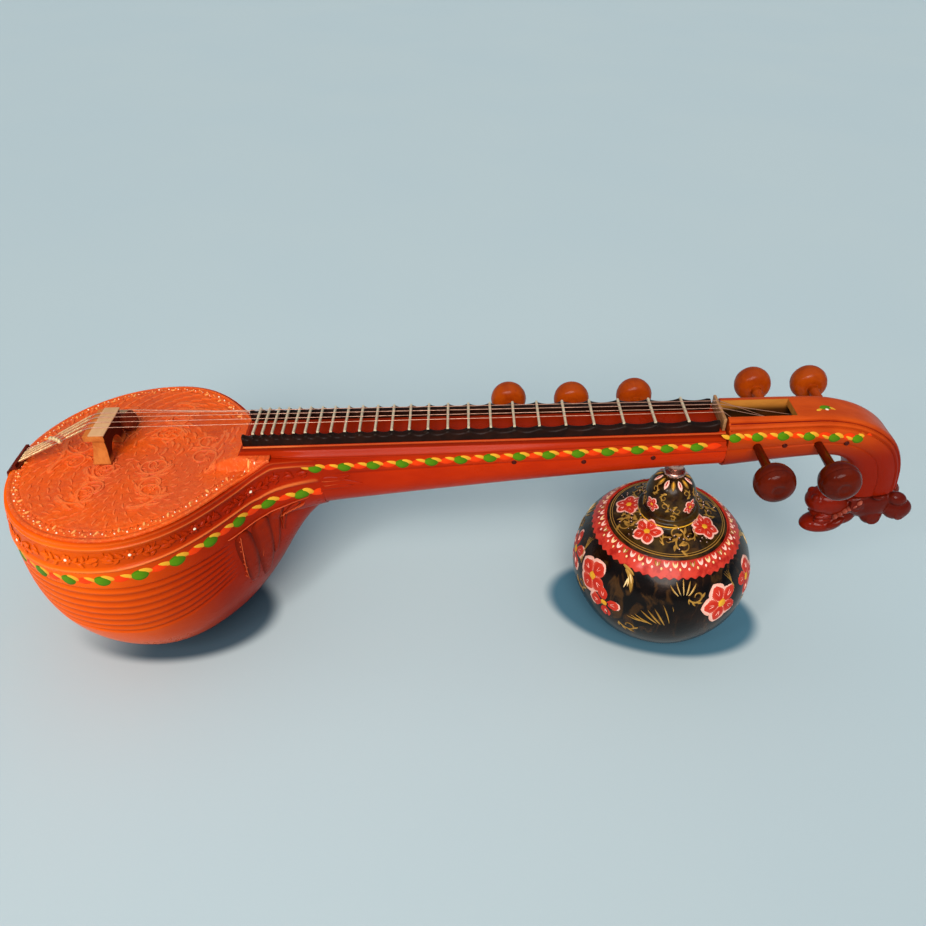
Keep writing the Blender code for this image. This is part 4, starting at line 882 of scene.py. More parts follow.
def ringAngles(z):
    # Closer together where the root of the neck springs.
    endSteps, sideSteps = 8, 128
    corner = cornerAngle(z)
    half = [corner * k / endSteps for k in range(endSteps)]
    half += [corner + (math.pi - corner) * (j / sideSteps) ** 1.3 for j in range(sideSteps + 1)]
    return np.array(half + [-a for a in half[-2:0:-1]])


def rimHeight(x, y):
    start = bowl["rampStart"] + bowl["rampShift"] * easeIn(
        (np.abs(y) - bowl["rampSideY"]) / bowl["rampSideWidth"])
    span = bowl["fallStart"] - bowl["centreX"] + bowl["rim"]
    fall = bowl["rimFall"] * np.maximum(0.0, bowl["fallStart"] - x) / span
    return bowl["rootRise"] * easeIn((x - start) / bowl["rampLength"]) - fall


def bowlPoint(angle, level):
    x, y = aroundBowl(outlineRadius(angle, level), angle)
    z = level + rimHeight(x, y) * easeIn(1.0 + level / bowl["sideBlend"])
    return np.stack([x, y, z], -1)


def bowlRelief(angle, level):
    degrees = np.abs(np.degrees(angle))
    ridge = np.interp(degrees, ridgeAngles, ridgeLevels)
    raised = 0.0022 * np.exp(-((level - ridge) / 0.0017) ** 2)
    raised += 0.0014 * np.exp(-((level + 0.0075) / 0.0015) ** 2)
    raised += 0.0008 * np.exp(-((level + 0.0005) / 0.0022) ** 2)
    hollow = easeIn((-0.0105 - level) / 0.003) * easeIn((level - ridge - 0.003) / 0.003)
    raised -= 0.0012 * hollow
    pitch = np.interp(degrees, fluteAngles, fluteSteps)
    phase = (bowl["fluteTop"] - level) / pitch
    inside = easeIn((phase + 0.25) / 0.25) * easeIn((bowl["fluteCount"] - 0.75 - phase) / 0.25)
    groove = np.abs(np.cos(np.pi * phase)) ** 1.8
    raised -= bowl["fluteDepth"] * groove * inside * easeIn((degrees - 36.0) / 9.0)
    x, _ = aroundBowl(outlineRadius(angle, level), angle)
    return raised * easeIn((0.2985 - x) / 0.004)


def makeBowl():
    levels = np.concatenate([
        np.linspace(0.0, -0.0145, 15), np.linspace(-0.0165, -0.0215, 3),
        np.linspace(-0.0235, -0.0545, 32), np.linspace(-0.058, -0.070, 4),
        np.linspace(-0.0715, -0.186, 84), np.linspace(-0.190, -0.2935, 22)])
    rows, reliefs = [], []
    for level in levels:
        angles = ringAngles(level)
        rows.append(bowlPoint(angles, np.full_like(angles, level)))
        reliefs.append(bowlRelief(angles, np.full_like(angles, level)))
    grid = np.array(rows)
    relief = np.array(reliefs)
    around = np.roll(grid, -1, 1) - np.roll(grid, 1, 1)
    normal = np.cross(around, np.gradient(grid, axis=0))
    normal /= np.linalg.norm(normal, axis=2, keepdims=True) + 1e-12
    away = grid - np.array([bowl["centreX"], 0.0, -0.10])
    normal *= np.sign((normal * away).sum(2, keepdims=True))
    grid = grid + normal * relief[..., None]
    # the rim turns in under the board, and an inner wall closes the shell
    angles = ringAngles(0.0)
    inner = []
    for share in (0.10, 0.45, 1.0):
        radius = lerp(outlineRadius(angles, 0.0), bowl["rim"] * pearShare(angles) - 0.012, share)
        x, y = aroundBowl(radius, angles)
        z = rimHeight(x, y) + (0.0006 if share < 0.2 else -0.0012)
        inner.append(np.stack([x, y, z], -1))
    for level in (-0.030, -0.060, -0.110, -0.160, -0.205, -0.245, -0.272):
        radius = bowlRadius(np.array(level)) * pearShare(angles) - bowl["wall"]
        inner.append(np.stack([*aroundBowl(radius, angles), np.full_like(angles, level)], -1))
    allRows = np.concatenate([np.array(inner[::-1]), grid])
    piece = skin("kudamBowl", allRows)
    # Relief values: painted shade in the flutes and hollows, painted highlight on the ridges.
    depth = np.clip(1.0 + relief / 0.0030, 0.0, 1.7)
    storeRelief(piece, np.concatenate([np.ones((len(inner), grid.shape[1])), depth]))
    # flat foot on the floor
    keepAbove(piece, restPose["footX"], restPose["footZ"], False)
    bpy.ops.object.mode_set(mode="OBJECT")
    return settle(piece, ["bowlLacquer"], ["kudam_bowl"])


makeBowl()
print("bowl made")


# The sound board

board = {"inset": 0.0036, "end": 0.2347, "thickness": 0.0032, "dome": 0.007, "gap": 0.0003}


def boardOutline(angle):
    radius = outlineRadius(angle, 0.0) - board["inset"]
    forward = np.maximum(np.cos(angle), 1e-6)
    end = (board["end"] - bowl["centreX"]) / forward
    return np.where(np.cos(angle) > 1e-6, np.minimum(radius, end), radius)


def boardTop(x, y):
    reach = np.hypot(x - bowl["centreX"], y) / (bowl["rim"] - 0.004)
    dome = board["dome"] * np.maximum(0.0, 1.0 - reach * reach)
    return rimHeight(x, y) + board["gap"] + board["thickness"] + dome


def boardSpot(x, y):
    return np.stack([x, y, boardTop(x, y)], -1)


def makeBoard():
    angles = ringAngles(0.0)
    outline = boardOutline(angles)
    # distances in from the edge, each with its height over the plain board; the sunk lines take
    # painted shade
    steps = [(0.0, -0.0030), (0.0, -0.0012), (0.0006, -0.0003), (0.0016, 0.0), (0.0030, 0.0003),
             (0.0044, 0.0), (0.0052, -0.0006), (0.0062, -0.0006), (0.0072, -0.0003),
             (0.0090, -0.0002), (0.0120, -0.0002), (0.0150, -0.0003), (0.0160, -0.0006),
             (0.0172, -0.0006), (0.0182, 0.0), (0.0200, 0.0003), (0.0215, 0.0), (0.0235, 0.0)]
    rows, depths = [], []
    for inward, lift in steps:
        radius = outline - inward
        x, y = aroundBowl(radius, angles)
        rows.append(np.stack([x, y, boardTop(x, y) + lift], -1))
        depths.append(np.full(len(angles), 1.0 if lift > -0.0005 else 0.65))
    for share in np.linspace(0.97, 0.02, 34):
        radius = (outline - 0.0235) * share
        x, y = aroundBowl(radius, angles)
        rows.append(np.stack([x, y, boardTop(x, y)], -1))
        depths.append(np.full(len(angles), 0.90))
    under = rows[0].copy()
    under[:, 2] -= 0.0003
    piece = skin("soundBoard", np.array([under] + rows))
    storeRelief(piece, np.array([depths[0]] + depths))
    return settle(piece, ["boardLacquer"], ["top_plate"])


def spread(count, reach):
    # Places spread evenly over a disc, and a share of 0 to 1 that differs for each.
    for k in range(count):
        angle = k * 2.39996
        radius = reach * math.sqrt((k + 0.5) / count)
        yield radius * math.cos(angle), radius * math.sin(angle), (k * 0.61803) % 1.0


# Rings of scrolls on the board: count, radius, first angle and step in degrees, size, the turns of
# the even and the odd ones, and the hand of the even ones.
boardScrolls = ((6, 0.122, 26.0, 27.0, 0.0275, (-80, 110), -1),
                (4, 0.070, 28.0, 42.0, 0.0240, (90, -80), 1))


def makeBoardCarving():
    # Scrolls, folded leaves and short tool marks, low on the board, mirrored across it.
    marks = Strokes()
    high = 0.0016

    def scroll(x, y, size, turn, hand):
        path = curl((x, y), turn, size * 4.2, hand * 0.25 / size, hand * 2.8 / size, 36)
        marks.blade(path, np.linspace(0.0034, 0.0020, len(path)), high, across=6)
        for k, share in enumerate(np.linspace(0.02, 0.62, 4)):
            i = int(share * (len(path) - 2))
            heading = headingAt(path, i)
            marks.leaf(path[i], heading - hand * (0.75 if k % 2 else 0.45),
                       size * (1.05 - 0.55 * share), size * (0.22 - 0.08 * share), high * 1.0,
                       bend=hand * 1.1 / size, vein=high * 0.5, steps=9, across=6, tip=0.38)
            if k % 2 == 0:
                marks.leaf(path[i], heading + hand * 0.8, size * 0.46, size * 0.10, high * 0.9,
                           bend=-hand * 1.2 / size, vein=high * 0.35, steps=7)
        marks.flower(path[-1], size * 0.22, 6, high * 1.1, (0, 0, 0), turn=turn)

    for side in (1, -1):
        for count, radius, first, step, size, turns, evenHand in boardScrolls:
            for k in range(count):
                angle = math.radians(first + step * k)
                x = bowl["centreX"] + radius * math.cos(angle)
                y = side * radius * math.sin(angle)
                if x < 0.150 or abs(y) > 0.055:
                    hand = side * evenHand * (-1 if k % 2 else 1)
                    scroll(x, y, size, side * (angle + math.radians(turns[k % 2])), hand)
        for x, y, share in spread(330, 0.158):
            x += bowl["centreX"]
            if side * y < 0.0 or (x > 0.176 and abs(y) < 0.052):
                continue
            heading = side * (math.atan2(y, x - bowl["centreX"]) * 2.0 * side + 5.0 * share)
            marks.leaf((x, y), heading, 0.0100 + 0.0110 * share, 0.0016 + 0.0024 * share,
                       high * (0.5 + 0.3 * share), bend=side * (110.0 - 170.0 * share), steps=8,
                       across=6, tip=0.4)
    piece = marks.lay("boardCarving", boardSpot)
    storeRelief(piece, reliefFromStrokes(marks, 0.40, 1.35))
    return settle(piece, ["boardLacquer"])


def makeBoardBorder():
    # Petals and pale beads between the two lines of the border.
    marks = Strokes()
    fine = np.linspace(-math.pi, math.pi, 4001)
    radius = boardOutline(fine) - 0.0112
    line = np.stack(aroundBowl(radius, fine), -1)
    length = np.concatenate([[0.0], np.cumsum(np.linalg.norm(np.diff(line, axis=0), axis=1))])
    count = int(length[-1] / 0.0052)
    for k in range(count):
        s = (k + 0.5) * length[-1] / count
        i = min(len(line) - 2, int(np.searchsorted(length, s)))
        x, y = line[i]
        if x > board["end"] - 0.016:
            continue
        along = headingAt(line, i)
        share = (k * 0.61803) % 1.0
        if k % 2:
            marks.leaf((x, y), along + 0.7 + share, 0.0062 + 0.0030 * share, 0.0020, 0.0012,
                       kind=2 if k % 6 == 1 else 0, vein=0.0005, steps=6)
        aside = 0.0034 * (2.0 * share - 1.0)
        marks.dot((x - aside * math.sin(along), y + aside * math.cos(along)),
                  0.0006 + 0.0010 * ((k * 0.381966) % 1.0), 0.0012, kind=1 if k % 3 == 0 else 2)
    piece = marks.lay("boardBorder", boardSpot)
    storeRelief(piece, [1.0] * len(piece.data.vertices))
    return settle(piece, ["boardLacquer", "creamDot", "paleDot"])


makeBoard()
makeBoardCarving()
makeBoardBorder()
print("sound board made")


# Garland, band and root carving on the bowl

garland = {"drop": 0.0155, "pitch": 0.0477, "first": 0.0250, "size": 1.10, "startX": 0.2955}
# The band lies between a line this far under the rim and the lower ridge; its charts count its
# height as this much.
band = {"top": 0.0085, "height": 0.034}


def leafLevel(angle):
    degrees = np.abs(np.degrees(angle))
    return np.interp(degrees, ridgeAngles, ridgeLevels) - garland["drop"]


class BowlGirth:
    # Lengths measured along the bowl, at the garland's level, from the neck round the near side.
    def __init__(self):
        self.angles = np.radians(np.linspace(-8.0, -352.0, 3000))
        wrapped = np.where(self.angles < -math.pi, self.angles + 2 * math.pi, self.angles)
        points = bowlPoint(wrapped, leafLevel(wrapped))
        gaps = np.linalg.norm(np.diff(points[:, :2], axis=0), axis=1)
        self.lengths = np.concatenate([[0.0], np.cumsum(gaps)])
        near = points[:800]
        start = float(np.interp(-garland["startX"], -near[:, 0], self.angles[:800]))
        self.startS = float(np.interp(-start, -self.angles, self.lengths))
        self.total = self.lengths[-1]

    def angleOf(self, s):
        angle = -np.interp(s, self.lengths, -self.angles)
        return np.where(angle < -math.pi, angle + 2 * math.pi, angle)

    def garlandSpot(self, s, v):
        angle = self.angleOf(s)
        return bowlPoint(angle, leafLevel(angle) + v)

    def bandSpot(self, s, v):
        # v runs from the lower ridge up to the rim, 0 half way
        angle = self.angleOf(s)
        ridge = leafLevel(angle) + garland["drop"]
        middle = (ridge - band["top"]) / 2
        return bowlPoint(angle, middle + v * (np.abs(ridge) - band["top"]) / band["height"])


girth = BowlGirth()


def garlandMotif(marks, u, v, size, lean=0.0, hand=1):
    # A broad green leaf between two yellow ones, and a red petal before the next; hand is -1
    # where u runs the other way.
    def put(du, dv, heading, length, width, height, kind, **more):
        turn = heading + lean
        marks.leaf((u + hand * du * size, v + dv * size), turn if hand > 0 else math.pi - turn,
                   length * size, width * size, height, kind, **more)
    put(0.0110, 0.0000, 0.06, 0.0250, 0.0060, 0.00035, 2, steps=8, tip=0.5, blunt=0.75)
    put(-0.0228, 0.0056, -0.36, 0.0185, 0.0036, 0.00050, 1, steps=8, tip=0.55, blunt=0.70)
    put(-0.0010, 0.0068, -0.36, 0.0190, 0.0040, 0.00050, 1, steps=8, tip=0.50, blunt=0.65)
    put(-0.0108, 0.0014, -0.18, 0.0215, 0.0080, 0.00080, 0, vein=0.00020, steps=12, across=6,
        tip=0.50, blunt=0.60)


def makeBowlGarland():
    marks = Strokes()
    first = girth.startS + garland["first"]
    count = int((girth.total - 2 * first) / garland["pitch"]) + 1
    pitch = (girth.total - 2 * first) / (count - 1)
    for k in range(count):
        garlandMotif(marks, first + k * pitch, 0.0, garland["size"], hand=-1)
    piece = marks.lay("bowlGarland", girth.garlandSpot, outward=-1.0)
    return settle(piece, ["leafGreen", "leafYellow", "petalRed"])


def makeBandCarving():
    # Leaves in the band under the rim, round small blooms with a pale bead in each.
    marks = Strokes()
    start, stop = girth.startS + 0.010, girth.total - girth.startS - 0.010
    degrees = np.array([-20.9, -50.9, -77.8, -104.3, -134.6, -164.0])
    levels = np.array([-0.0205, -0.0195, -0.0200, -0.0260, -0.0330, -0.0300])
    blooms = []
    for angle, level in zip(degrees, levels):
        s = float(np.interp(math.radians(-angle), -girth.angles, girth.lengths))
        ridge = float(leafLevel(math.radians(angle))) + garland["drop"]
        v = (level - (ridge - band["top"]) / 2) * band["height"] / (abs(ridge) - band["top"])
        blooms += [(s, v), (girth.total - s, v)]
    for s, v in blooms:
        marks.flower((s, v), 0.0085, 6, 0.0013, (0, 0, 1), turn=0.3)
        marks.dot((s, v), 0.0026, 0.0024, kind=1)
        for hand in (-1, 1):
            path = curl((s + hand * 0.007, v - 0.002), math.pi / 2 - hand * 1.9, 0.034,
                        hand * 20.0, hand * 90.0, 16)
            marks.blade(path, np.linspace(0.0014, 0.0007, len(path)), 0.0012)
            for k, share in enumerate((0.1, 0.3, 0.5, 0.7)):
                i = int(share * 15)
                heading = headingAt(path, i)
                marks.leaf(path[i], heading - hand * (0.9 if k % 2 else -0.7), 0.0120, 0.0034,
                           0.0014, bend=hand * 50.0, vein=0.0006, steps=7)
    for k in range(64):
        s = start + (k + 0.5) * (stop - start) / 64
        if min(abs(s - b[0]) for b in blooms) < 0.022:
            continue
        side = 1 if k % 2 == 0 else -1
        marks.leaf((s - 0.006, 0.004 * side), -0.45 * side, 0.0165, 0.0042, 0.0013,
                   bend=40.0 * side, vein=0.0006, steps=8)
        marks.leaf((s + 0.004, -0.009 * side), 2.2 * side, 0.0110, 0.0030, 0.0011,
                   bend=50.0 * side, vein=0.0005, steps=6)
    piece = marks.lay("bandCarving", girth.bandSpot, outward=-1.0)
    storeRelief(piece, reliefFromStrokes(marks, 0.45))
    return settle(piece, ["bowlLacquer", "creamDot"])


# Each fold of the root: start along the garland, start below it, length, half width, height, bend.
rootFolds = ((0.129, -0.018, 0.110, 0.0170, 0.0020, 1.0),
             (0.026, -0.015, 0.060, 0.0130, 0.0022, 5.0),
             (0.062, -0.016, 0.095, 0.0200, 0.0026, 3.0),
             (0.095, -0.017, 0.125, 0.0215, 0.0030, 1.5))
# Creases between the folds, drawn in pale strokes as painted highlights: points along and below
# the garland.
rootCreases = (((.1500, -.0165), (.1100, -.0168), (.0550, -.0162), (.0340, -.0120),
                (.0120, -.0050)),
               ((.0556, -.0175), (.0440, -.0360), (.0300, -.0580), (.0212, -.0740)),
               ((.1310, -.0240), (.1340, -.0500), (.1354, -.0800), (.1330, -.1080)),
               ((.0930, -.0570), (.0970, -.0700), (.1020, -.0880)),
               ((.0840, -.0420), (.0905, -.0390), (.0955, -.0440), (.0945, -.0500)))


def makeRootCarving():
    # Long folded leaves that clasp the bowl from the neck.
    marks = Strokes()
    for farSide in (False, True):
        def place(u, v):
            return (girth.total - u, v) if farSide else (u, v)
        for s, top, length, width, height, bend in rootFolds:
            marks.leaf((girth.startS + s, top), -1.72, length, width, height, bend=bend,
                       vein=height * 0.10, steps=22, across=14, tip=0.34, blunt=0.42, place=place)
        for points in rootCreases:
            path = throughPoints([(girth.startS + s, v) for s, v in points], 8)
            marks.blade(path, np.full(len(path), 0.00060), 0.0028, 1, 4, sink=-0.0010, place=place)
        # A fan of pale dashes and a row of pale dots: painted highlights on the folds.
        for k in range(5):
            marks.leaf((girth.startS + 0.012 + 0.0068 * k, -0.0300 - 0.0030 * k), 2.15, 0.0125,
                       0.0007, 0.0040, 1, steps=6, across=3, place=place)
        for k in range(9):
            marks.dot((girth.startS + 0.1345 + 0.0012 * (k % 3), -0.030 - 0.0085 * k), 0.0009,
                      0.0040, 1, place)
    piece = marks.lay("rootCarving", girth.garlandSpot, outward=-1.0)
    # Painted shade along the folds' edges.
    storeRelief(piece, reliefFromStrokes(marks, 0.0, 1.05))
    return settle(piece, ["shadedRootLacquer", "foldHighlight"])


makeBowlGarland()
makeBandCarving()
makeRootCarving()
print("bowl carving made")


# Neck and finger board platform

platform = {"start": 0.190, "slope": 0.010, "raise": 0.0045, "top": 0.038, "end": 0.8635,
            "ledgeBody": 0.0370, "ledgeNut": 0.0335, "slopeEnd": 0.205}
# Height of the painted leaves on the neck, and where each leaf stands.
neckLeafX = (0.337, 0.420, 0.542, 0.664, 0.745, 0.835, 0.8662)
neckLeafZ = (0.0050, 0.0080, 0.0135, 0.0165, 0.0195, 0.0215, 0.0222)


def neckShare(x):
    return np.clip((x - bowl["rootEnd"]) / (neck["end"] - bowl["rootEnd"]), 0.0, 1.0)


def neckHalf(x):
    return lerp(neck["halfBody"], neck["halfNut"], neckShare(x))


def keelZ(x):
    t = (x - bowl["rootEnd"]) / (neck["end"] - bowl["rootEnd"])
    return -lerp(neck["dropNut"], neck["dropBody"], np.maximum(0.0, 1.0 - t) ** neck["curve"])


def ledgeHalf(x):
    return lerp(platform["ledgeBody"], platform["ledgeNut"], neckShare(x))


def leafHeight(x):
    return np.interp(x, neckLeafX, neckLeafZ)


def sideHalf(x):
    # Half the neck's width at its sides, which swell to meet the bowl's root.
    return neckHalf(x) + 0.0017 * np.exp(np.minimum(0.0, bowl["rootEnd"] - x) / 0.014)


def neckSide(x, z):
    # The near side of the neck.
    half = sideHalf(x)
    keel = keelZ(x)
    rounding = lerp(neck["roundBody"], neck["roundNut"], neckShare(x))
    t = np.clip((keel + rounding - z) / rounding, 0.0, 1.0)
    return np.stack([x, -half * np.sqrt(1.0 - t * t), z], -1)


def neckGroove(x, z):
    # Depth of the line that runs along the neck, under its painted leaves.
    middle = float(leafHeight(x)) - neck["grooveDrop"]
    return neck["groove"] * math.exp(-((z - middle) / neck["grooveWidth"]) ** 2)


def makeNeck():
    xs = np.concatenate([[0.2960, 0.2985], np.linspace(0.300, 0.863, 154), [0.8656, 0.8662]])
    rows, depths = [], []
    for x in xs:
        half = float(sideHalf(x)) - (0.0012 if x < 0.299 else 0.0)
        keel = float(keelZ(x))
        rounding = float(lerp(neck["roundBody"], neck["roundNut"], neckShare(x)))
        centre = keel + rounding
        trim = 0.0004 if x in (xs[0], xs[-1]) else 0.0
        points = [(x, half - 0.010, neck["top"]), (x, half - trim, neck["top"])]
        # Relief values: painted shade in the groove that runs under the leaves.
        depth = [1.0, 1.0]
        for z in np.linspace(neck["top"] - 0.0006, centre, 16)[:-1]:
            groove = neckGroove(x, z)
            points.append((x, half - trim - groove, z))
            depth.append(1.0 - groove / 0.0014)
        for k in range(25):
            a = math.pi / 2 * k / 24
            z = centre - rounding * math.sin(a)
            groove = neckGroove(x, z)
            points.append((x, (half - trim) * math.cos(a) - groove, z))
            depth.append(1.0 - groove / 0.0014)
        left = [(px, -py, pz) for px, py, pz in points[-2::-1]]
        points[-1] = (x, 0.0, keel)
        rows.append(points + left)
        depths.append(depth + depth[-2::-1])
    piece = skin("neckShell", rows)
    storeRelief(piece, np.array(depths))
    return settle(piece, ["neckLacquer"], ["neck_body"], angle=50.0)


def platformSection(x, bottom):
    # Half of the section from the base up: moulding, groove, ledge, floor between the rails. Each
    # point has a relief value: low for painted shade in the groove and between the rails, high for
    # a painted highlight along the ledge.
    ledge = float(ledgeHalf(x))
    grown = float(easeIn((x - 0.2300) / 0.060))
    half = lerp(ledge + 0.0016, float(neckHalf(x)) - 0.0003, grown)
    band = min(0.0285, max(bottom + 0.001, float(leafHeight(x)) + 0.0085))
    under = platform["top"] - 0.0030
    low = max(under - 0.0055, band + 0.0008)
    shape = [(half, bottom, 1.0), (half, band - 0.0012, 1.0), (half - 0.0004, band, 0.9),
             (half - 0.0012, band + 0.0002, 0.3)]
    rise = low - band
    for t in (0.2, 0.4, 0.6, 0.8, 1.0):
        shape.append((lerp(half - 0.0012, ledge + 0.0004, t ** 0.9),
                      band + 0.0003 + rise * t ** 1.3, 0.95))
    groove = ledge - 0.0020
    shape += [(ledge + 0.0002, low + 0.0004, 0.6), (groove + 0.0003, low + 0.0008, 0.1),
              (groove, low + 0.0016, 0.05), (groove, under - 0.0009, 0.05),
              (groove + 0.0003, under - 0.0003, 0.3), (ledge - 0.0004, under, 1.0),
              (ledge, under + 0.0004, 1.5), (ledge, platform["top"] - 0.0008, 1.6),
              (ledge - 0.0003, platform["top"] - 0.0002, 1.6),
              (ledge - 0.0009, platform["top"], 1.0),
              (ledge - 0.0120, platform["top"], 0.5), (ledge - 0.0135, platform["top"], 0.2)]
    return shape


def makePlatform():
    raised = neck["top"] + platform["raise"]
    seat = neck["top"] + 0.0003
    xs = [(platform["start"], raised), (platform["start"] + 0.0012, raised)]
    xs += [(x, raised) for x in np.linspace(0.196, 0.2352, 10)]
    xs += [(x, seat) for x in np.linspace(0.2356, platform["end"], 130)]
    rows, depths = [], []
    for x, bottom in xs:
        shape = platformSection(x, bottom)
        points = []
        sloping = (platform["slopeEnd"] - x) / (platform["slopeEnd"] - platform["start"])
        slope = platform["slope"] * min(1.0, max(0.0, sloping)) / (platform["top"] - raised)
        for y, z, _ in shape:
            points.append((x + slope * (z - raised), y, z))
        rows.append(points + [(px, -py, pz) for px, py, pz in points[::-1]])
        side = [d for _, _, d in shape]
        depths.append(side + side[::-1])
    piece = skin("fingerPlatform", rows)
    storeRelief(piece, np.array(depths))
    return settle(piece, ["mouldingLacquer"], ["neck_cover"],
                  angle=50.0)


# Motifs along the neck, the long leaves where the carved root runs out, and a line of painted
# highlight on two of them.
neckGarland = {"count": 14, "start": 0.2955, "pitch": 0.04065, "size": 0.94, "lean": 0.040,
               "rootLeaves": ((0.2995, -0.0235, 0.10, 0.062, 0.0060),
                              (0.2995, -0.0310, 0.16, 0.046, 0.0050),
                              (0.3000, -0.0150, 0.02, 0.042, 0.0042),
                              (0.3160, -0.0200, 0.45, 0.030, 0.0036)),
               "glints": ((0.3010, -0.0190, 0.06, 0.0300), (0.3030, -0.0270, 0.14, 0.0240))}


def rootFlank(x, z):
    # The near side of the bowl's root, then of the neck.
    angles = np.linspace(1.2, 0.05, 500)
    rootX, rootY = aroundBowl(outlineRadius(angles, np.full_like(angles, -0.012)), angles)
    rootY = np.interp(x, rootX, -rootY)
    point = neckSide(x, z)
    point[:, 1] = np.where(x < bowl["rootEnd"], rootY, point[:, 1]) - 0.0001
    return point


def makeNeckGarland():
    marks = Strokes()
    for k in range(neckGarland["count"]):
        x = neckGarland["start"] + neckGarland["pitch"] * k
        garlandMotif(marks, x, float(leafHeight(x)), neckGarland["size"], lean=neckGarland["lean"])
    for x, z, heading, length, width in neckGarland["rootLeaves"]:
        marks.leaf((x, z), heading, length, width, 0.0017, 3, bend=-4.0, vein=0.0006, steps=14,
                   across=8, tip=0.35)
    for x, z, heading, length in neckGarland["glints"]:
        marks.leaf((x, z), heading, length, 0.0004, 0.0022, 4, steps=9, across=3)
    layBothSides(marks, "neckGarland", rootFlank,
                 ["leafGreen", "leafYellow", "petalRed", "neckLacquer", "foldHighlight"],
                 reliefFromStrokes(marks, 0.2, 1.1))


makeNeck()
makePlatform()
makeNeckGarland()
print("neck made")


# Wax rails, frets and nut

fretting = {"scale": 0.860, "count": 24, "railTop": 0.0539, "railStart": 0.199, "railEnd": 0.8545,
            "railWidth": 0.0115, "railDip": 0.0046, "edgeInset": 0.0014, "bar": 0.0034,
            "halfNut": 0.0282, "halfBody": 0.0304}
nut = {"low": (0.8585, -0.030, 0.0383), "high": (0.8625, 0.030, 0.0582), "slotDepth": 0.0006,
       "slotHalf": 0.0006, "slotY": (-0.0135, -0.0042, 0.0052, 0.0138)}


def fretX(number):
    return fretting["scale"] * 2.0 ** (-number / 12)


def makeRail(name, side, node):
    knots = [fretting["railStart"]] + [fretX(n) for n in range(24, 0, -1)] + [fretting["railEnd"]]
    stations = []
    for a, b in zip(knots, knots[1:]):
        for k in range(10):
            t = k / 10
            dip = fretting["railDip"] * math.sin(math.pi * t) ** 0.8
            stations.append((lerp(a, b, t), dip))
    stations.append((knots[-1], 0.0))
    base = platform["top"] + 0.0003
    rows = []
    for i, (x, dip) in enumerate(stations):
        end = 0.0012 if i in (0, len(stations) - 1) else 0.0
        outer = float(ledgeHalf(x)) - fretting["edgeInset"] - end
        bulge = 0.0008 * math.sin(x * 300.0) + 0.0005 * math.sin(x * 811.0 + side)
        inner = outer - fretting["railWidth"] + 2 * end
        top = fretting["railTop"] - dip - end
        ring = [(outer, base), (outer + 0.0003 + bulge * 0.5, lerp(base, top, 0.35)),
                (outer + 0.0002 + bulge * 0.3, lerp(base, top, 0.75)),
                (outer - 0.0003, top - 0.0018), (outer - 0.0012, top - 0.0006),
                (outer - 0.0028, top), (inner + 0.0026, top), (inner + 0.0010, top - 0.0006),
                (inner, top - 0.0020), (inner, base)]
        rows.append([(x, side * y, z) for y, z in ring])
    piece = skin(name, rows)
    return settle(piece, ["blackWax"], [node], angle=60.0)


def makeFrets():
    # One rounded bar, copied to every place with its own length.
    bar = fretting["bar"]
    first = boxPiece("fretBar", (-bar / 2, -0.5, 0.0), (bar / 2, 0.5, bar))
    bpy.ops.object.mode_set(mode="EDIT")
    bpy.ops.mesh.select_all(action="DESELECT")
    bpy.ops.object.mode_set(mode="OBJECT")
    for edge in first.data.edges:
        ends = [first.data.vertices[i].co for i in edge.vertices]
        along = abs(ends[0].y - ends[1].y) > 0.5
        edge.select = along and ends[0].z > 0.001
    bpy.ops.object.mode_set(mode="EDIT")
    bpy.ops.mesh.select_mode(type="EDGE")
    bpy.ops.mesh.bevel(offset=0.0016, segments=5, profile=0.5, affect="EDGES")
    bpy.ops.object.mode_set(mode="OBJECT")
    for number in range(1, fretting["count"] + 1):
        mesh = first.data.copy()
        half = lerp(fretting["halfNut"], fretting["halfBody"], number / 24)
        for vertex in mesh.vertices:
            vertex.co.y *= 2 * half
            if abs(vertex.co.y) > half - 1e-5:
                vertex.co.y *= 1.0 - 0.03 * max(0.0, vertex.co.z / bar)
        fret = bpy.data.objects.new(f"fretBar_{number:02d}", mesh)
        bpy.context.scene.collection.objects.link(fret)
        fret.location = (fretX(number), 0.0, fretting["railTop"] + 0.0002)
        bpy.context.view_layer.update()
        settle(fret, ["fretBrass"], [f"fret_{number:02d}"])
    bpy.data.objects.remove(first)


def makeNut():
    piece = boxPiece("nutBar", nut["low"], nut["high"], 0.0008, 3)
    floor = nut["high"][2] - nut["slotDepth"]
    for y in nut["slotY"]:
        cutWith(piece, boxPiece("nutSlot", (0.850, y - nut["slotHalf"], floor),
                                (0.870, y + nut["slotHalf"], 0.062)))
    return settle(piece, ["bone"], ["nut"])


makeRail("waxRailNear", -1, "wax_rail_near")
makeRail("waxRailFar", 1, "wax_rail_far")
makeFrets()
makeNut()
print("wax, frets and nut made")


# Bridge, tailpiece and wires behind the bridge

bridge = {"footZ": 0.0108, "topZ": 0.0603, "half": 0.033, "waist": 0.0045, "footBack": -0.019,
          "back": -0.009, "front": 0.007, "plankBack": -0.019, "plankFront": 0.0105,
          "plank": 0.0095, "archHalf": 0.019, "archHeight": 0.024, "capHalf": 0.034,
          "capBack": -0.010, "capFront": 0.012, "cap": (0.0003, 0.0020)}
sideBridge = {"radius": 0.0370, "depth": 0.0240, "back": -0.002, "length": 0.016,
              "strip": (0.0003, 0.0013)}


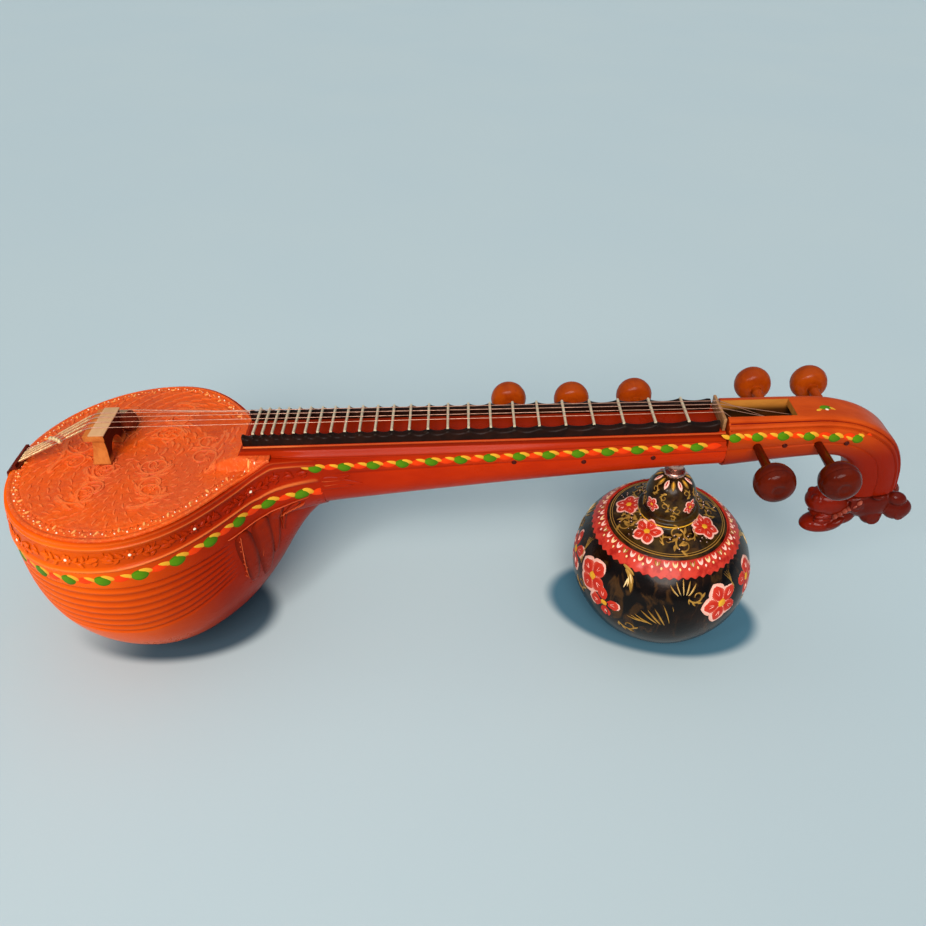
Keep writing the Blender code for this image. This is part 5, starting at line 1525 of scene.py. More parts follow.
def extrudeOutline(name, outline, sweep, bevel=0.0, segments=3):
    # A flat outline, pulled out along the sweep, with its edges rounded.
    count = len(outline)
    far = [tuple(Vector(p) + Vector(sweep)) for p in outline]
    faces = [tuple(range(count))[::-1], tuple(range(count, 2 * count))]
    faces += [(i, (i + 1) % count, count + (i + 1) % count, count + i) for i in range(count)]
    piece = meshPiece(name, [*outline, *far], faces)
    if bevel > 0.0:
        roundEdges(piece, bevel, segments, 40)
    return piece


def makeBridge():
    span, foot = bridge["half"], bridge["footZ"]
    height = bridge["topZ"] - bridge["plank"] * 0.5 - foot
    outline = []
    for t in np.linspace(0.0, 1.0, 12):
        inward = bridge["waist"] * math.sin(math.pi / 2 * min(1.0, t * 1.6)) ** 1.4
        outline.append((0.0, span - inward, foot + t * height))
    outline += [(0.0, -y, z) for _, y, z in outline[::-1]]
    for k in range(17):
        a = math.pi * (1.0 - k / 16)
        outline.append((0.0, bridge["archHalf"] * math.cos(a),
                        foot + bridge["archHeight"] * math.sin(a)))
    body = extrudeOutline("bridgeLegs", [(bridge["back"], y, z) for _, y, z in outline],
                          (bridge["front"] - bridge["back"], 0.0, 0.0))
    for vertex in body.data.vertices:
        if vertex.co.x < bridge["back"] + 1e-6:
            share = (vertex.co.z - foot) / height
            vertex.co.x = lerp(bridge["footBack"], bridge["back"], min(1.0, share ** 0.8))
    roundEdges(body, 0.0010, 3, 45)
    plank = boxPiece("bridgePlank", (bridge["plankBack"], -span, bridge["topZ"] - bridge["plank"]),
                     (bridge["plankFront"], span, bridge["topZ"]), 0.0008, 3)
    cutWith(body, plank, "UNION")
    settle(body, ["bridgeWood"], ["bridge_body"])
    under, over = (bridge["topZ"] + lift for lift in bridge["cap"])
    cap = boxPiece("bridgeCap", (bridge["capBack"], -bridge["capHalf"], under),
                   (bridge["capFront"], bridge["capHalf"], over), 0.0005, 3)
    settle(cap, ["capBrass"], ["bridge_plate"])


def sideArc(radius, start, end):
    centreY = bridge["half"] + 0.0009
    angles = np.radians(np.linspace(start, end, 31))
    return [(0.0, centreY + radius * math.sin(a), bridge["footZ"] + radius * math.cos(a))
            for a in angles]


def sideBridgePart(name, outline, bevel, segments):
    return extrudeOutline(name, [(sideBridge["back"], y, z) for _, y, z in outline],
                          (sideBridge["length"], 0.0, 0.0), bevel, segments)


def makeSideBridge():
    radius = sideBridge["radius"]
    outer = sideArc(radius, 4.0, 86.0)
    inner = sideArc(radius - sideBridge["depth"], 4.0, 86.0)
    touch = bridge["half"] + 0.0003
    outline = [*outer, (0.0, outer[-1][1], bridge["footZ"]), (0.0, inner[-1][1], bridge["footZ"])]
    outline += inner[::-1] + [(0.0, touch, inner[0][2]), (0.0, touch, outer[0][2])]
    settle(sideBridgePart("sideBridgeWood", outline, 0.0007, 3), ["darkWood"],
           ["side_bridge"])
    low, high = (sideArc(radius + lift, 8.0, 80.0) for lift in sideBridge["strip"])
    settle(sideBridgePart("sideBridgeStrip", high + low[::-1], 0.0002, 2),
           ["capBrass"], ["side_bridge_plate"])


# The gold wire that is wound round each thick string, clear of its tuning bead.
winding = {"topX": -0.0193, "topZ": 0.0614, "tailX": -0.1352, "tailZ": 0.0061,
           "topY": (-0.0165, -0.0035, 0.0085, 0.0185),
           "tailY": (-0.0150, -0.0090, -0.0030, 0.0030), "beadX": -0.0760, "stagger": 0.0090,
           "clear": 0.0125, "radius": 0.00130, "wire": 0.00060, "pitch": 0.0046}


def makeWinding():
    points, faces = [], []
    sides, perTurn = 5, 10
    for index, (topY, tailY) in enumerate(zip(winding["topY"], winding["tailY"])):
        top = np.array((winding["topX"], topY, winding["topZ"]))
        tail = np.array((winding["tailX"], tailY, winding["tailZ"]))
        length = float(np.linalg.norm(tail - top))
        along = (tail - top) / length
        side = np.cross(along, (0.0, 0.0, 1.0))
        side /= np.linalg.norm(side)
        up = np.cross(side, along)
        beadX = winding["beadX"] - winding["stagger"] * (index - 1.5)
        middle = length * (top[0] - beadX) / (top[0] - tail[0])
        for start, stop in ((0.004, middle - winding["clear"]),
                            (middle + winding["clear"], length - 0.002)):
            for strand in (0.0, math.pi):
                count = int((stop - start) / winding["pitch"] * perTurn)
                base = len(points)
                for i in range(count + 1):
                    run = lerp(start, stop, i / count)
                    turn = 2 * math.pi * (run - start) / winding["pitch"] + strand
                    ease = min(1.0, i / 4, (count - i) / 4)
                    out = side * math.cos(turn) + up * math.sin(turn)
                    centre = top + along * run + out * winding["radius"] * lerp(0.75, 1.0, ease)
                    for j in range(sides):
                        a = 2 * math.pi * j / sides
                        wire = winding["wire"] * lerp(0.3, 1.0, ease)
                        points.append(centre + (out * math.cos(a) + along * math.sin(a)) * wire)
                for i in range(count):
                    for j in range(sides):
                        k = (j + 1) % sides
                        low, high = base + i * sides, base + (i + 1) * sides
                        faces.append((low + j, low + k, high + k, high + j))
                faces.append(tuple(range(base, base + sides))[::-1])
                faces.append(tuple(range(base + count * sides, base + (count + 1) * sides)))
    piece = meshPiece("goldWinding", points, faces)
    return settle(piece, ["goldWire"], angle=60.0)


makeBridge()
makeSideBridge()
makeWinding()
print("bridge made")


# Peg box and head

head = {"boxHalf": 0.020, "floor": 0.004, "mouthEnd": 0.961, "roof": 0.0445,
        "roofEnd": 0.033, "boxEnd": 1.044}
headOuter = ((.8665, .055), (.915, .055), (.965, .055), (1.008, .054), (1.049, .045),
             (1.082, .029), (1.107, .008), (1.123, -.018), (1.133, -.048), (1.138, -.083))
headInner = ((.8665, -.028), (.915, -.0215), (.962, -.016), (.998, -.013), (1.024, -.015),
             (1.042, -.024), (1.054, -.038), (1.061, -.055), (1.0635, -.073), (1.064, -.092))
headHalves = (.0425, .0420, .0412, .0405, .0395, .0385, .0370, .0350, .0330, .0310)
# Share of the depth from the inner edge, share of the half width, and a dip for the mouldings.
headSection = ((1.0, 0.0, 0.0), (1.0, 0.30, 0.0), (1.0, 0.50, 0.0), (0.995, 0.62, 0.0),
               (0.975, 0.685, 0.0), (0.955, 0.725, -0.0020), (0.935, 0.765, -0.0022),
               (0.915, 0.800, 0.0), (0.885, 0.845, 0.0), (0.860, 0.868, -0.0020),
               (0.840, 0.885, -0.0020), (0.820, 0.905, 0.0), (0.740, 0.960, 0.0),
               (0.660, 0.993, 0.0), (0.560, 1.0, 0.0), (0.520, 1.0, -0.0014),
               (0.500, 1.0, -0.0014), (0.470, 1.0, 0.0), (0.300, 0.985, 0.0), (0.200, 0.93, 0.0),
               (0.120, 0.82, 0.0), (0.060, 0.64, 0.0), (0.020, 0.42, 0.0), (0.004, 0.20, 0.0),
               (0.0, 0.0, 0.0))


headRows = throughPoints([(*o, *i, w) for o, i, w in zip(headOuter, headInner, headHalves)], 12)


def headRing(row, side, shrink=1.0):
    # One side of the section at a station, from the crown down.
    ox, oz, ix, iz, half = row
    across = Vector((ox - ix, 0.0, oz - iz)).normalized()
    return [(lerp(ix, ox, u * shrink) + across.x * 0.5 * dip, side * (v * half + 0.85 * dip),
             lerp(iz, oz, u * shrink) + across.z * 0.5 * dip) for u, v, dip in headSection]


def makeHead():
    rings = [headRing(row, 1, 0.9965) + headRing(row, -1, 0.9965)[-2:0:-1] for row in headRows]
    piece = skin("pegBoxHead", rings)
    profile = [(0.8605, head["floor"]), (head["boxEnd"], head["floor"]),
               (head["boxEnd"], head["roofEnd"]), (head["mouthEnd"], head["roof"]),
               (head["mouthEnd"] + 0.001, 0.070), (0.8605, 0.070)]
    half = head["boxHalf"]
    tool = extrudeOutline("wellCutter", [(x, -half, z) for x, z in profile], (0.0, 2 * half, 0.0))
    cutWith(piece, tool)
    return settle(piece, ["headLacquer"], ["pegbox_head"], angle=38.0)


def headSide(x, z):
    top = np.interp(x, headRows[:, 0], headRows[:, 1])
    bottom = np.interp(x, headRows[:, 2], headRows[:, 3])
    half = np.interp(x, headRows[:, 0], headRows[:, 4])
    share = np.clip((z - bottom) / (top - bottom), 0.0, 1.0)
    table = np.array(headSection)[::-1]
    width = np.interp(share, table[:, 0], table[:, 1])
    return np.stack([x, -half * width, z], -1)


# Line of the garland on the head, where its motifs stand, and for each dark line of painted shade
# in the moulding grooves its place in the section and its half width.
headMarks = {"lineX": (0.866, 0.90, 0.94, 0.975, 1.01, 1.045),
             "lineZ": (0.0335, 0.0340, 0.0345, 0.0330, 0.0305, 0.0265),
             "motifX": (0.8745, 0.905, 0.940, 0.9755, 1.0105, 1.0440),
             "lines": ((5.5, 0.42), (9.5, 0.42), (15.5, 0.34))}


def makeHeadGarland():
    marks = Strokes()
    for x in headMarks["motifX"]:
        z = float(np.interp(x, headMarks["lineX"], headMarks["lineZ"]))
        garlandMotif(marks, x, z, 0.84, lean=-0.10 if x > 1.0 else 0.0)
    layBothSides(marks, "headGarland", headSide, ["leafGreen", "leafYellow", "petalRed"])


def headLineSpot(t, s):
    # t counts along the head's stations, s across its section from the crown down one side.
    grid = np.array([headRing(row, -1) for row in headRows])
    t = np.clip(t, 0.0, len(grid) - 1.001)
    s = np.clip(s, 0.0, grid.shape[1] - 1.001)
    i, j = t.astype(int), s.astype(int)
    a, b = (t - i)[:, None], (s - j)[:, None]
    return (grid[i, j] * (1 - a) * (1 - b) + grid[i + 1, j] * a * (1 - b)
            + grid[i, j + 1] * (1 - a) * b + grid[i + 1, j + 1] * a * b)


def makeHeadLines():
    # Painted shade: dark lines in the moulding grooves that follow the head's crown to the beast.
    marks = Strokes()
    for s, width in headMarks["lines"]:
        path = np.stack([np.linspace(1.0, 104.0, 160), np.full(160, s)], -1)
        marks.blade(path, np.full(160, width), 0.00016, sink=0.0002)
    layBothSides(marks, "headLines", headLineSpot, ["grooveShade"])


# Each leaf on the crown: start, heading, length, half width, height, ink, steps along and across.
crownLeaves = (((0.996, -0.004), 0.15, 0.0200, 0.0062, 0.00020, 0, 10, 6),
               ((1.010, -0.001), -0.5, 0.0110, 0.0030, 0.00024, 1, 7, 4),
               ((0.990, -0.011), 0.5, 0.0110, 0.0030, 0.00024, 1, 7, 4))


def makeCrownMark(head):
    # A small leaf and a pale dot on top of the head.
    back = restMatrix.inverted()

    def crown(x, y):
        spots = []
        for a, b in zip(x, y):
            above = restMatrix @ Vector((a, b, 0.055))
            above.z += 0.2
            hit = head.ray_cast(above, Vector((0.0, 0.0, -1.0)))[1]
            spots.append((back @ hit)[:])
        return np.array(spots)
    marks = Strokes()
    for *leaf, steps, across in crownLeaves:
        marks.leaf(*leaf, steps=steps, across=across)
    marks.dot((1.006, -0.007), 0.0028, 0.00034, 2)
    piece = marks.lay("crownMark", crown)
    return settle(piece, ["leafGreen", "leafYellow", "creamDot"])


pegBoxHead = makeHead()
makeHeadGarland()
makeHeadLines()
makeCrownMark(pegBoxHead)
print("head made")


# Beast head

# Each mass: centre, radii and tilt. Those of one side are mirrored, and end with their segments.
beast = {"voxel": 0.0013, "masses": (
    ((1.1100, 0.0, -.1140), (.0400, .0320, .0340), 0.0),
    ((1.0640, 0.0, -.1190), (.0420, .0255, .0255), 4.0),
    ((1.0800, 0.0, -.1480), (.0240, .0190, .0150), -28.0),
    ((1.0550, 0.0, -.1630), (.0340, .0205, .0155), -10.0),
    ((1.0420, 0.0, -.1200), (.0220, .0215, .0190), 12.0),
    ((1.0560, 0.0, -.1430), (.0240, .0170, .0120), 0.0),
    ((1.1494, -.021, -.1215), (.0210, .0140, .0190), 0.0),
    ((1.1494, 0.021, -.1215), (.0210, .0140, .0190), 0.0),
    ((1.1140, -.021, -.1340), (.0160, .0120, .0150), 0.0),
    ((1.1140, 0.021, -.1340), (.0160, .0120, .0150), 0.0)),
         # nostril, two lips, corner of the mouth, eye, brow, middle of the ear, mane
         "sideMasses": (((1.031, .0090, -.1080), (.0070, .0060, .0060), 0.0, 16),
                        ((1.050, .0150, -.1400), (.0160, .0060, .0045), -6.0, 20),
                        ((1.050, .0130, -.1490), (.0150, .0065, .0042), -10.0, 20),
                        ((1.066, .0195, -.1520), (.0150, .0060, .0060), -38.0, 20),
                        ((1.084, .0255, -.1080), (.0105, .0080, .0085), 0.0, 20),
                        ((1.084, .0235, -.0965), (.0165, .0070, .0040), -14.0, 20),
                        ((1.109, .0295, -.0810), (.0060, .0045, .0045), 0.0, 16),
                        ((1.143, .0225, -.1010), (.0150, .0105, .0110), 20.0, 20)),
         # rings round the eye, in the ear, behind the cheek and on it: centre, radii, axis
         "sideRings": (((1.084, .0290, -.1080), .0090, .0022, (0.15, 1.0, 0.25)),
                       ((1.109, .0310, -.0810), .0095, .0032, (0.10, 1.0, 0.25)),
                       ((1.152, .0305, -.1250), .0085, .0026, (0.30, 1.0, 0.10)),
                       ((1.114, .0300, -.1340), .0080, .0026, (0.00, 1.0, 0.10))),
         "ribs": 6, "ribStart": (1.060, .0240, -.1330), "ribEnd": (1.085, .0300, -.1010),
         "ribRadii": (.0024, .0050, .0048)}


def roundMass(centre, radii, tilt, segments=32):
    bpy.ops.object.select_all(action="DESELECT")
    bpy.ops.mesh.primitive_uv_sphere_add(segments=segments, ring_count=segments // 2, radius=1.0,
                                         location=centre, scale=radii,
                                         rotation=(0.0, math.radians(tilt), 0.0))
    piece = bpy.context.active_object
    bpy.ops.object.transform_apply(location=True, rotation=True, scale=True)
    return piece


def ringMass(centre, major, minor, axis):
    bpy.ops.object.select_all(action="DESELECT")
    turn = Vector(axis).to_track_quat("Z", "Y").to_euler()
    bpy.ops.mesh.primitive_torus_add(major_segments=28, minor_segments=10, location=centre,
                                     rotation=turn, major_radius=major, minor_radius=minor)
    piece = bpy.context.active_object
    bpy.ops.object.transform_apply(location=True, rotation=True, scale=True)
    return piece


def makeBeast():
    parts = [roundMass(*mass) for mass in beast["masses"]]
    for side in (-1, 1):
        for (x, y, z), *rest in beast["sideMasses"]:
            parts.append(roundMass((x, side * y, z), *rest))
        for (x, y, z), major, minor, (ax, ay, az) in beast["sideRings"]:
            parts.append(ringMass((x, side * y, z), major, minor, (ax, side * ay, az)))
    body = joinPieces("yaliHead", parts)
    addModifier(body, "REMESH", mode="VOXEL", voxel_size=beast["voxel"], adaptivity=0.0)
    addModifier(body, "SMOOTH", factor=0.5, iterations=4)
    # cut flat where it stands on the head
    ox, oz, ix, iz, _ = headRows[-1]
    along = Vector((ox - ix, 0.0, oz - iz)).normalized()
    away = Vector((along.z, 0.0, -along.x))
    low = Vector((ix, 0.0, iz)) - along * 0.007 + away * 0.0002
    high = Vector((ox, 0.0, oz)) + along * 0.040 + away * 0.0002
    up = Vector((0.0, 0.0, 0.120))
    outline = [p + Vector((0.0, -0.07, 0.0)) for p in (low, high, high + up, low + up)]
    cutWith(body, extrudeOutline("neckEnd", outline, (0.0, 0.14, 0.0)))
    settle(body, ["beastLacquer"], ["yali_head"], angle=60.0)
    # the pale ribs at the corner of the mouth
    ribs = []
    for side in (-1, 1):
        for k in range(beast["ribs"]):
            share = k / (beast["ribs"] - 1)
            x, y, z = (lerp(a, b, share) for a, b in zip(beast["ribStart"], beast["ribEnd"]))
            ribs.append(roundMass((x, side * y, z), beast["ribRadii"], 40.0, 14))
    return settle(joinPieces("yaliRibs", ribs), ["ribPaint"], angle=60.0)


makeBeast()
print("beast head made")


# Pegs

peg = {"headRadius": 0.0268, "headLength": 0.0370, "nearStart": 0.1000, "farStart": 0.0955,
       "shaft": 0.0072, "tip": 0.0036, "proud": 0.0010, "mainX": (0.907, 0.945, 0.991, 1.030),
       "mainZ": 0.019, "droneX": (0.573, 0.670, 0.766), "droneZ": (0.0045, 0.0015, 0.0050)}


def makePeg(name, x, z, side, halfWidth, finish, node):
    tip = -(halfWidth + peg["proud"])
    start = peg["nearStart"] if side < 0 else peg["farStart"]
    end = start + peg["headLength"]
    r = peg["headRadius"]
    profile = [(0.0008, tip), (peg["tip"] - 0.0010, tip), (peg["tip"], tip + 0.0008),
               (peg["shaft"] - 0.0004, start - 0.012), (peg["shaft"] + 0.0006, start - 0.0100),
               (peg["shaft"] + 0.0006, start - 0.0075), (peg["shaft"] - 0.0002, start - 0.0060),
               (peg["shaft"] + 0.0002, start - 0.0005)]
    bun = throughPoints([(peg["shaft"] + 0.0010, start), (0.55 * r, start + 0.0005),
                         (0.86 * r, start + 0.0050), (r, start + 0.0150),
                         (0.995 * r, start + 0.0215)], 5)
    crown = throughPoints([(0.965 * r, start + 0.0224), (0.955 * r, start + 0.0236),
                           (0.945 * r, start + 0.0262), (0.82 * r, start + 0.0320),
                           (0.55 * r, end - 0.0008), (0.40 * r, end)], 5)
    profile += pairs(bun, crown)
    profile += [(0.33 * r, end - 0.0003), (0.29 * r, end - 0.0012), (0.20 * r, end - 0.0016),
                (0.10 * r, end - 0.0012), (0.0008, end - 0.0010)]
    piece = turnedPiece(name, profile, 40)
    standAt(piece, (x, 0.0, z), (0, side, 0))
    return settle(piece, [finish], [node], 50.0, node)


def makePegs():
    for number, x in enumerate(peg["mainX"]):
        side = -1 if number % 2 == 0 else 1
        half = float(np.interp(x, headRows[:, 0], headRows[:, 4]))
        near = side < 0
        makePeg(f"mainPegTurned_{number + 1}", x, peg["mainZ"], side, half,
                "pegRed" if near else "pegOrange",
                f"main_peg_{number + 1}")
    for number, (x, z) in enumerate(zip(peg["droneX"], peg["droneZ"])):
        makePeg(f"dronePegTurned_{number + 1}", x, z, 1, float(neckHalf(x)), "pegOrange",
                f"drone_peg_{number + 1}")


makePegs()
print("pegs made")


# Gourd

gourd = {"x": 0.8132, "radius": 0.1385, "centreZ": -0.2366, "top": 0.1192, "bottom": 0.1320,
         "wall": 0.005, "capRadius": 0.0905, "capZ": -0.1522, "bulb": 0.0390, "bulbTop": -0.0620,
         "mouth": 0.030}


def gourdOutline():
    start = math.acos(gourd["capRadius"] / gourd["radius"])
    stop = -math.acos(gourd["mouth"] / gourd["radius"])
    angles = np.linspace(start, stop, 70)
    height = np.where(angles > 0, gourd["top"], gourd["bottom"])
    radii = gourd["radius"] * np.cos(angles)
    levels = gourd["centreZ"] + height * np.sin(angles)
    radii[0], levels[0] = gourd["capRadius"] + 0.001, gourd["capZ"] - 0.0003
    return radii, levels


def makeGourdShell():
    radii, levels = gourdOutline()
    outer = list(zip(radii, levels))
    inner = [(r - gourd["wall"], z + (0.004 if i > 35 else -0.004 if i > 2 else 0.0))
             for i, (r, z) in enumerate(outer)]
    profile = outer + inner[::-1]
    steps = 112
    rows = []
    for k in range(steps):
        a = 2 * math.pi * k / steps
        lobe = 1.0 + 0.004 * math.cos(8 * a)
        rows.append([(gourd["x"] + r * lobe * math.cos(a), r * lobe * math.sin(a), z)
                     if 4 < i < len(outer) else (gourd["x"] + r * math.cos(a), r * math.sin(a), z)
                     for i, (r, z) in enumerate(profile)])
    rows.append(rows[0])
    grid = np.array(rows).transpose(1, 0, 2)[:, :-1]
    closed = np.concatenate([grid, grid[:1]])
    piece = skin("gourdShell", closed, capped=False)
    keepAbove(piece, restPose["gourdX"], restPose["gourdZ"], True)
    bpy.ops.mesh.select_all(action="DESELECT")
    bpy.ops.mesh.select_non_manifold(extend=False)
    bpy.ops.mesh.bridge_edge_loops()
    bpy.ops.mesh.select_all(action="SELECT")
    bpy.ops.mesh.normals_make_consistent(inside=False)
    bpy.ops.object.mode_set(mode="OBJECT")
    return settle(piece, ["gourdLacquer"], ["gourd_shell"], body="gourd")


def capProfile():
    r, top, seam, edge = gourd["bulb"], gourd["bulbTop"], gourd["capZ"], gourd["capRadius"]
    crown = throughPoints([(0.16 * r, top), (0.40 * r, top - .0010), (0.70 * r, top - .0090),
                           (0.88 * r, top - .0210), (0.97 * r, top - .0340), (r, top - .0470),
                           (r, seam + .0345)], 5)
    ring = throughPoints([(1.04 * r, seam + .0320), (1.12 * r, seam + .0308),
                          (1.17 * r, seam + .0290), (1.18 * r, seam + .0270),
                          (1.16 * r, seam + .0250)], 4)
    dome = throughPoints([(1.19 * r, seam + .0215), (1.36 * r, seam + .0178),
                          (1.66 * r, seam + .0145), (0.80 * edge, seam + .0110),
                          (0.92 * edge, seam + .0062), (edge, seam + .0022)], 5)
    return pairs(crown, ring, dome) + [(edge, seam)]


def makeGourdCap():
    profile = [(0.0010, gourd["bulbTop"])] + capProfile()
    wall = gourd["wall"]
    edge, seam, r, top = gourd["capRadius"], gourd["capZ"], gourd["bulb"], gourd["bulbTop"]
    profile += [(edge - wall, seam), (0.76 * edge, seam + .0040), (1.1 * r, seam + .0080),
                (r - wall, seam + .0190), (r - wall, top - .0450), (0.66 * r, top - .0220),
                (0.0010, top - .0120)]
    piece = turnedPiece("gourdDome", profile, 96)
    standAt(piece, (gourd["x"], 0.0, 0.0), (0, 0, 1))
    return settle(piece, ["gourdLacquer"], ["gourd_cap"], body="gourd")


def makeStalk():
    r, flare = 0.008, 0.016
    top = float(keelZ(gourd["x"])) + 0.020
    socketTop = float(keelZ(gourd["x"])) + 0.006
    shoulder = socketTop - 0.009 - 0.0003
    low = gourd["bulbTop"] + 0.0003
    span = shoulder - low
    turnedPart = throughPoints([(0.80 * flare, low), (flare, shoulder - 0.80 * span),
                                (0.90 * flare, shoulder - 0.64 * span),
                                (0.50 * flare, shoulder - 0.56 * span),
                                (0.72 * flare, shoulder - 0.42 * span),
                                (0.76 * flare, shoulder - 0.18 * span),
                                (0.62 * flare, shoulder)], 6)
    profile = [(0.0010, low)] + pairs(turnedPart)
    profile += [(r, shoulder), (r, top), (0.0010, top)]
    piece = turnedPiece("gourdStalk", profile, 40)
    standAt(piece, (gourd["x"], 0.0, 0.0), (0, 0, 1))
    settle(piece, ["stalkMetal"], ["gourd_stalk"], body="gourd")
    # ferrule in the neck
    low = socketTop - 0.009
    ferrule = turnedPiece("ferrule", [(0.0086, socketTop), (0.0086, low), (0.0092, low - 0.0002),
                                      (0.0110, low), (0.0125, low + 0.0014),
                                      (0.0122, low + 0.0026), (0.0125, low + 0.0036),
                                      (0.0125, socketTop)], 40)
    standAt(ferrule, (gourd["x"], 0.0, 0.0), (0, 0, 1))
    settle(ferrule, ["stalkMetal"], ["gourd_socket"])


class GourdChart:
    # u is the angle round the axis, v the length down the outline from the top of the bulb.
    def __init__(self):
        radii, levels = gourdOutline()
        cap = np.array(capProfile()[:-1])
        line = np.vstack([cap, np.stack([radii[1:], levels[1:]], -1)])
        gaps = np.linalg.norm(np.diff(line, axis=0), axis=1)
        self.lengths = np.concatenate([[0.0], np.cumsum(gaps)])
        self.radii, self.levels = line[:, 0], line[:, 1]

    def spot(self, angle, s):
        r = np.interp(s, self.lengths, self.radii)
        z = np.interp(s, self.lengths, self.levels)
        return np.stack([gourd["x"] + r * np.cos(angle), r * np.sin(angle), z], -1)

    def downAt(self, radius=None, level=None):
        # Length at a radius on the upper half, or at a level.
        if level is not None:
            return float(np.interp(-level, -self.levels, self.lengths))
        return float(np.interp(radius, self.radii[20:70], self.lengths[20:70]))

    def placer(self, angle, s):
        # Local metres, x to the right and y up as seen from outside, about one place.
        def place(x, y):
            down = s - y
            r = float(np.interp(down, self.lengths, self.radii))
            return angle + x / r, down
        return place


chart = GourdChart()
gourdInks = ["petalRose", "petalWhite", "leafYellow", "goldPaint", "grapeDot", "paleGold"]


def goldSpray(marks, place, x, y, size, turn, hand, thick=1.0):
    path = curl((x, y), turn, size * 2.9, hand * 0.5 / size, hand * 3.8 / size, 20)
    marks.blade(path, np.linspace(0.0017, 0.0008, len(path)) * thick, 0.00045, 3, 3, place=place)
    for k, share in enumerate((0.08, 0.24, 0.42, 0.60)):
        i = int(share * (len(path) - 2))
        heading = headingAt(path, i)
        marks.leaf(path[i], heading - hand * 0.8, size * 0.56, size * 0.12, 0.00045, 3,
                   bend=hand * 1.0 / size, steps=7, across=3, place=place)


def berries(marks, place, spots, radius):
    for x, y in spots:
        marks.dot((x, y), radius, 0.0012, 4, place)
        # A pale dot at each berry's upper left: a painted highlight.
        marks.dot((x - radius * 0.25, y + radius * 0.30), radius * 0.42, 0.0017, 1, place)


def blossom(marks, place, x, y, radius, petals, turn):
    # Red petals with a pale edge and a pale stroke down the middle of each.
    marks.flower((x, y), radius, petals, 0.0007, (0, 1, 2), turn=turn, place=place,
                 outline=radius * 0.065, width=0.40 if petals > 4 else 0.52, blunt=0.80)
    for k in range(petals):
        angle = turn + 2 * math.pi * k / petals
        start = (x + math.cos(angle) * radius * 0.36, y + math.sin(angle) * radius * 0.36)
        for hand in (-1, 1):
            marks.leaf(start, angle + hand * 0.26, radius * 0.38, radius * 0.022, 0.0010, 1,
                       steps=5, across=2, place=place)


# Angle in degrees and length down the outline, for everything painted on one third of the gourd.
bodyPaint = {"blossoms": ((-152, .2250, .0310, 4, 1.2), (-138, .2540, .0290, 4, 0.3),
                          (-61, .2310, .0345, 5, 0.6)),
             "grass": (-88, .2000), "leavesAndReflection": (-128, .1830), "arcs": (-105, .2300),
             "reeds": (-169, .2150)}
# The same for the blossoms of the dome and the bulb, and the angles of the dome's scrolls.
capPaint = {"dome": ((-133, .1140), (-36, .1156), (62, .1150), (162, .1150)),
            "scrolls": (-84.5, 13, 112, -165.5),
            "bulb": ((-147, .0563), (-55, .0544), (35, .0555), (125, .0555))}
# Places were measured down the outline with the seam here; the bulb's own count from its top.
measuredSeam, bulbEnd = 0.1430, 0.09
# Each gold scroll: place, size, turn, hand and thickness.
domeScrolls = ((-0.004, -0.012, 0.0225, 0.5, 1, 1.25), (0.006, 0.008, 0.0225, 3.6, 1, 1.25))
domeEndScrolls = ((-0.026, -0.012, 0.0130, 1.9, -1), (0.026, 0.010, 0.0130, 5.0, -1))
bulbScrolls = ((-0.008, -0.006, 0.0105, 0.8, 1), (0.008, 0.006, 0.0105, 3.9, 1),
               (0.000, -0.012, 0.0070, 0.2, -1))
bulbHighScrolls = ((-0.010, -0.004, 0.0095, 0.4, 1), (0.012, 0.004, 0.0085, 3.4, 1))


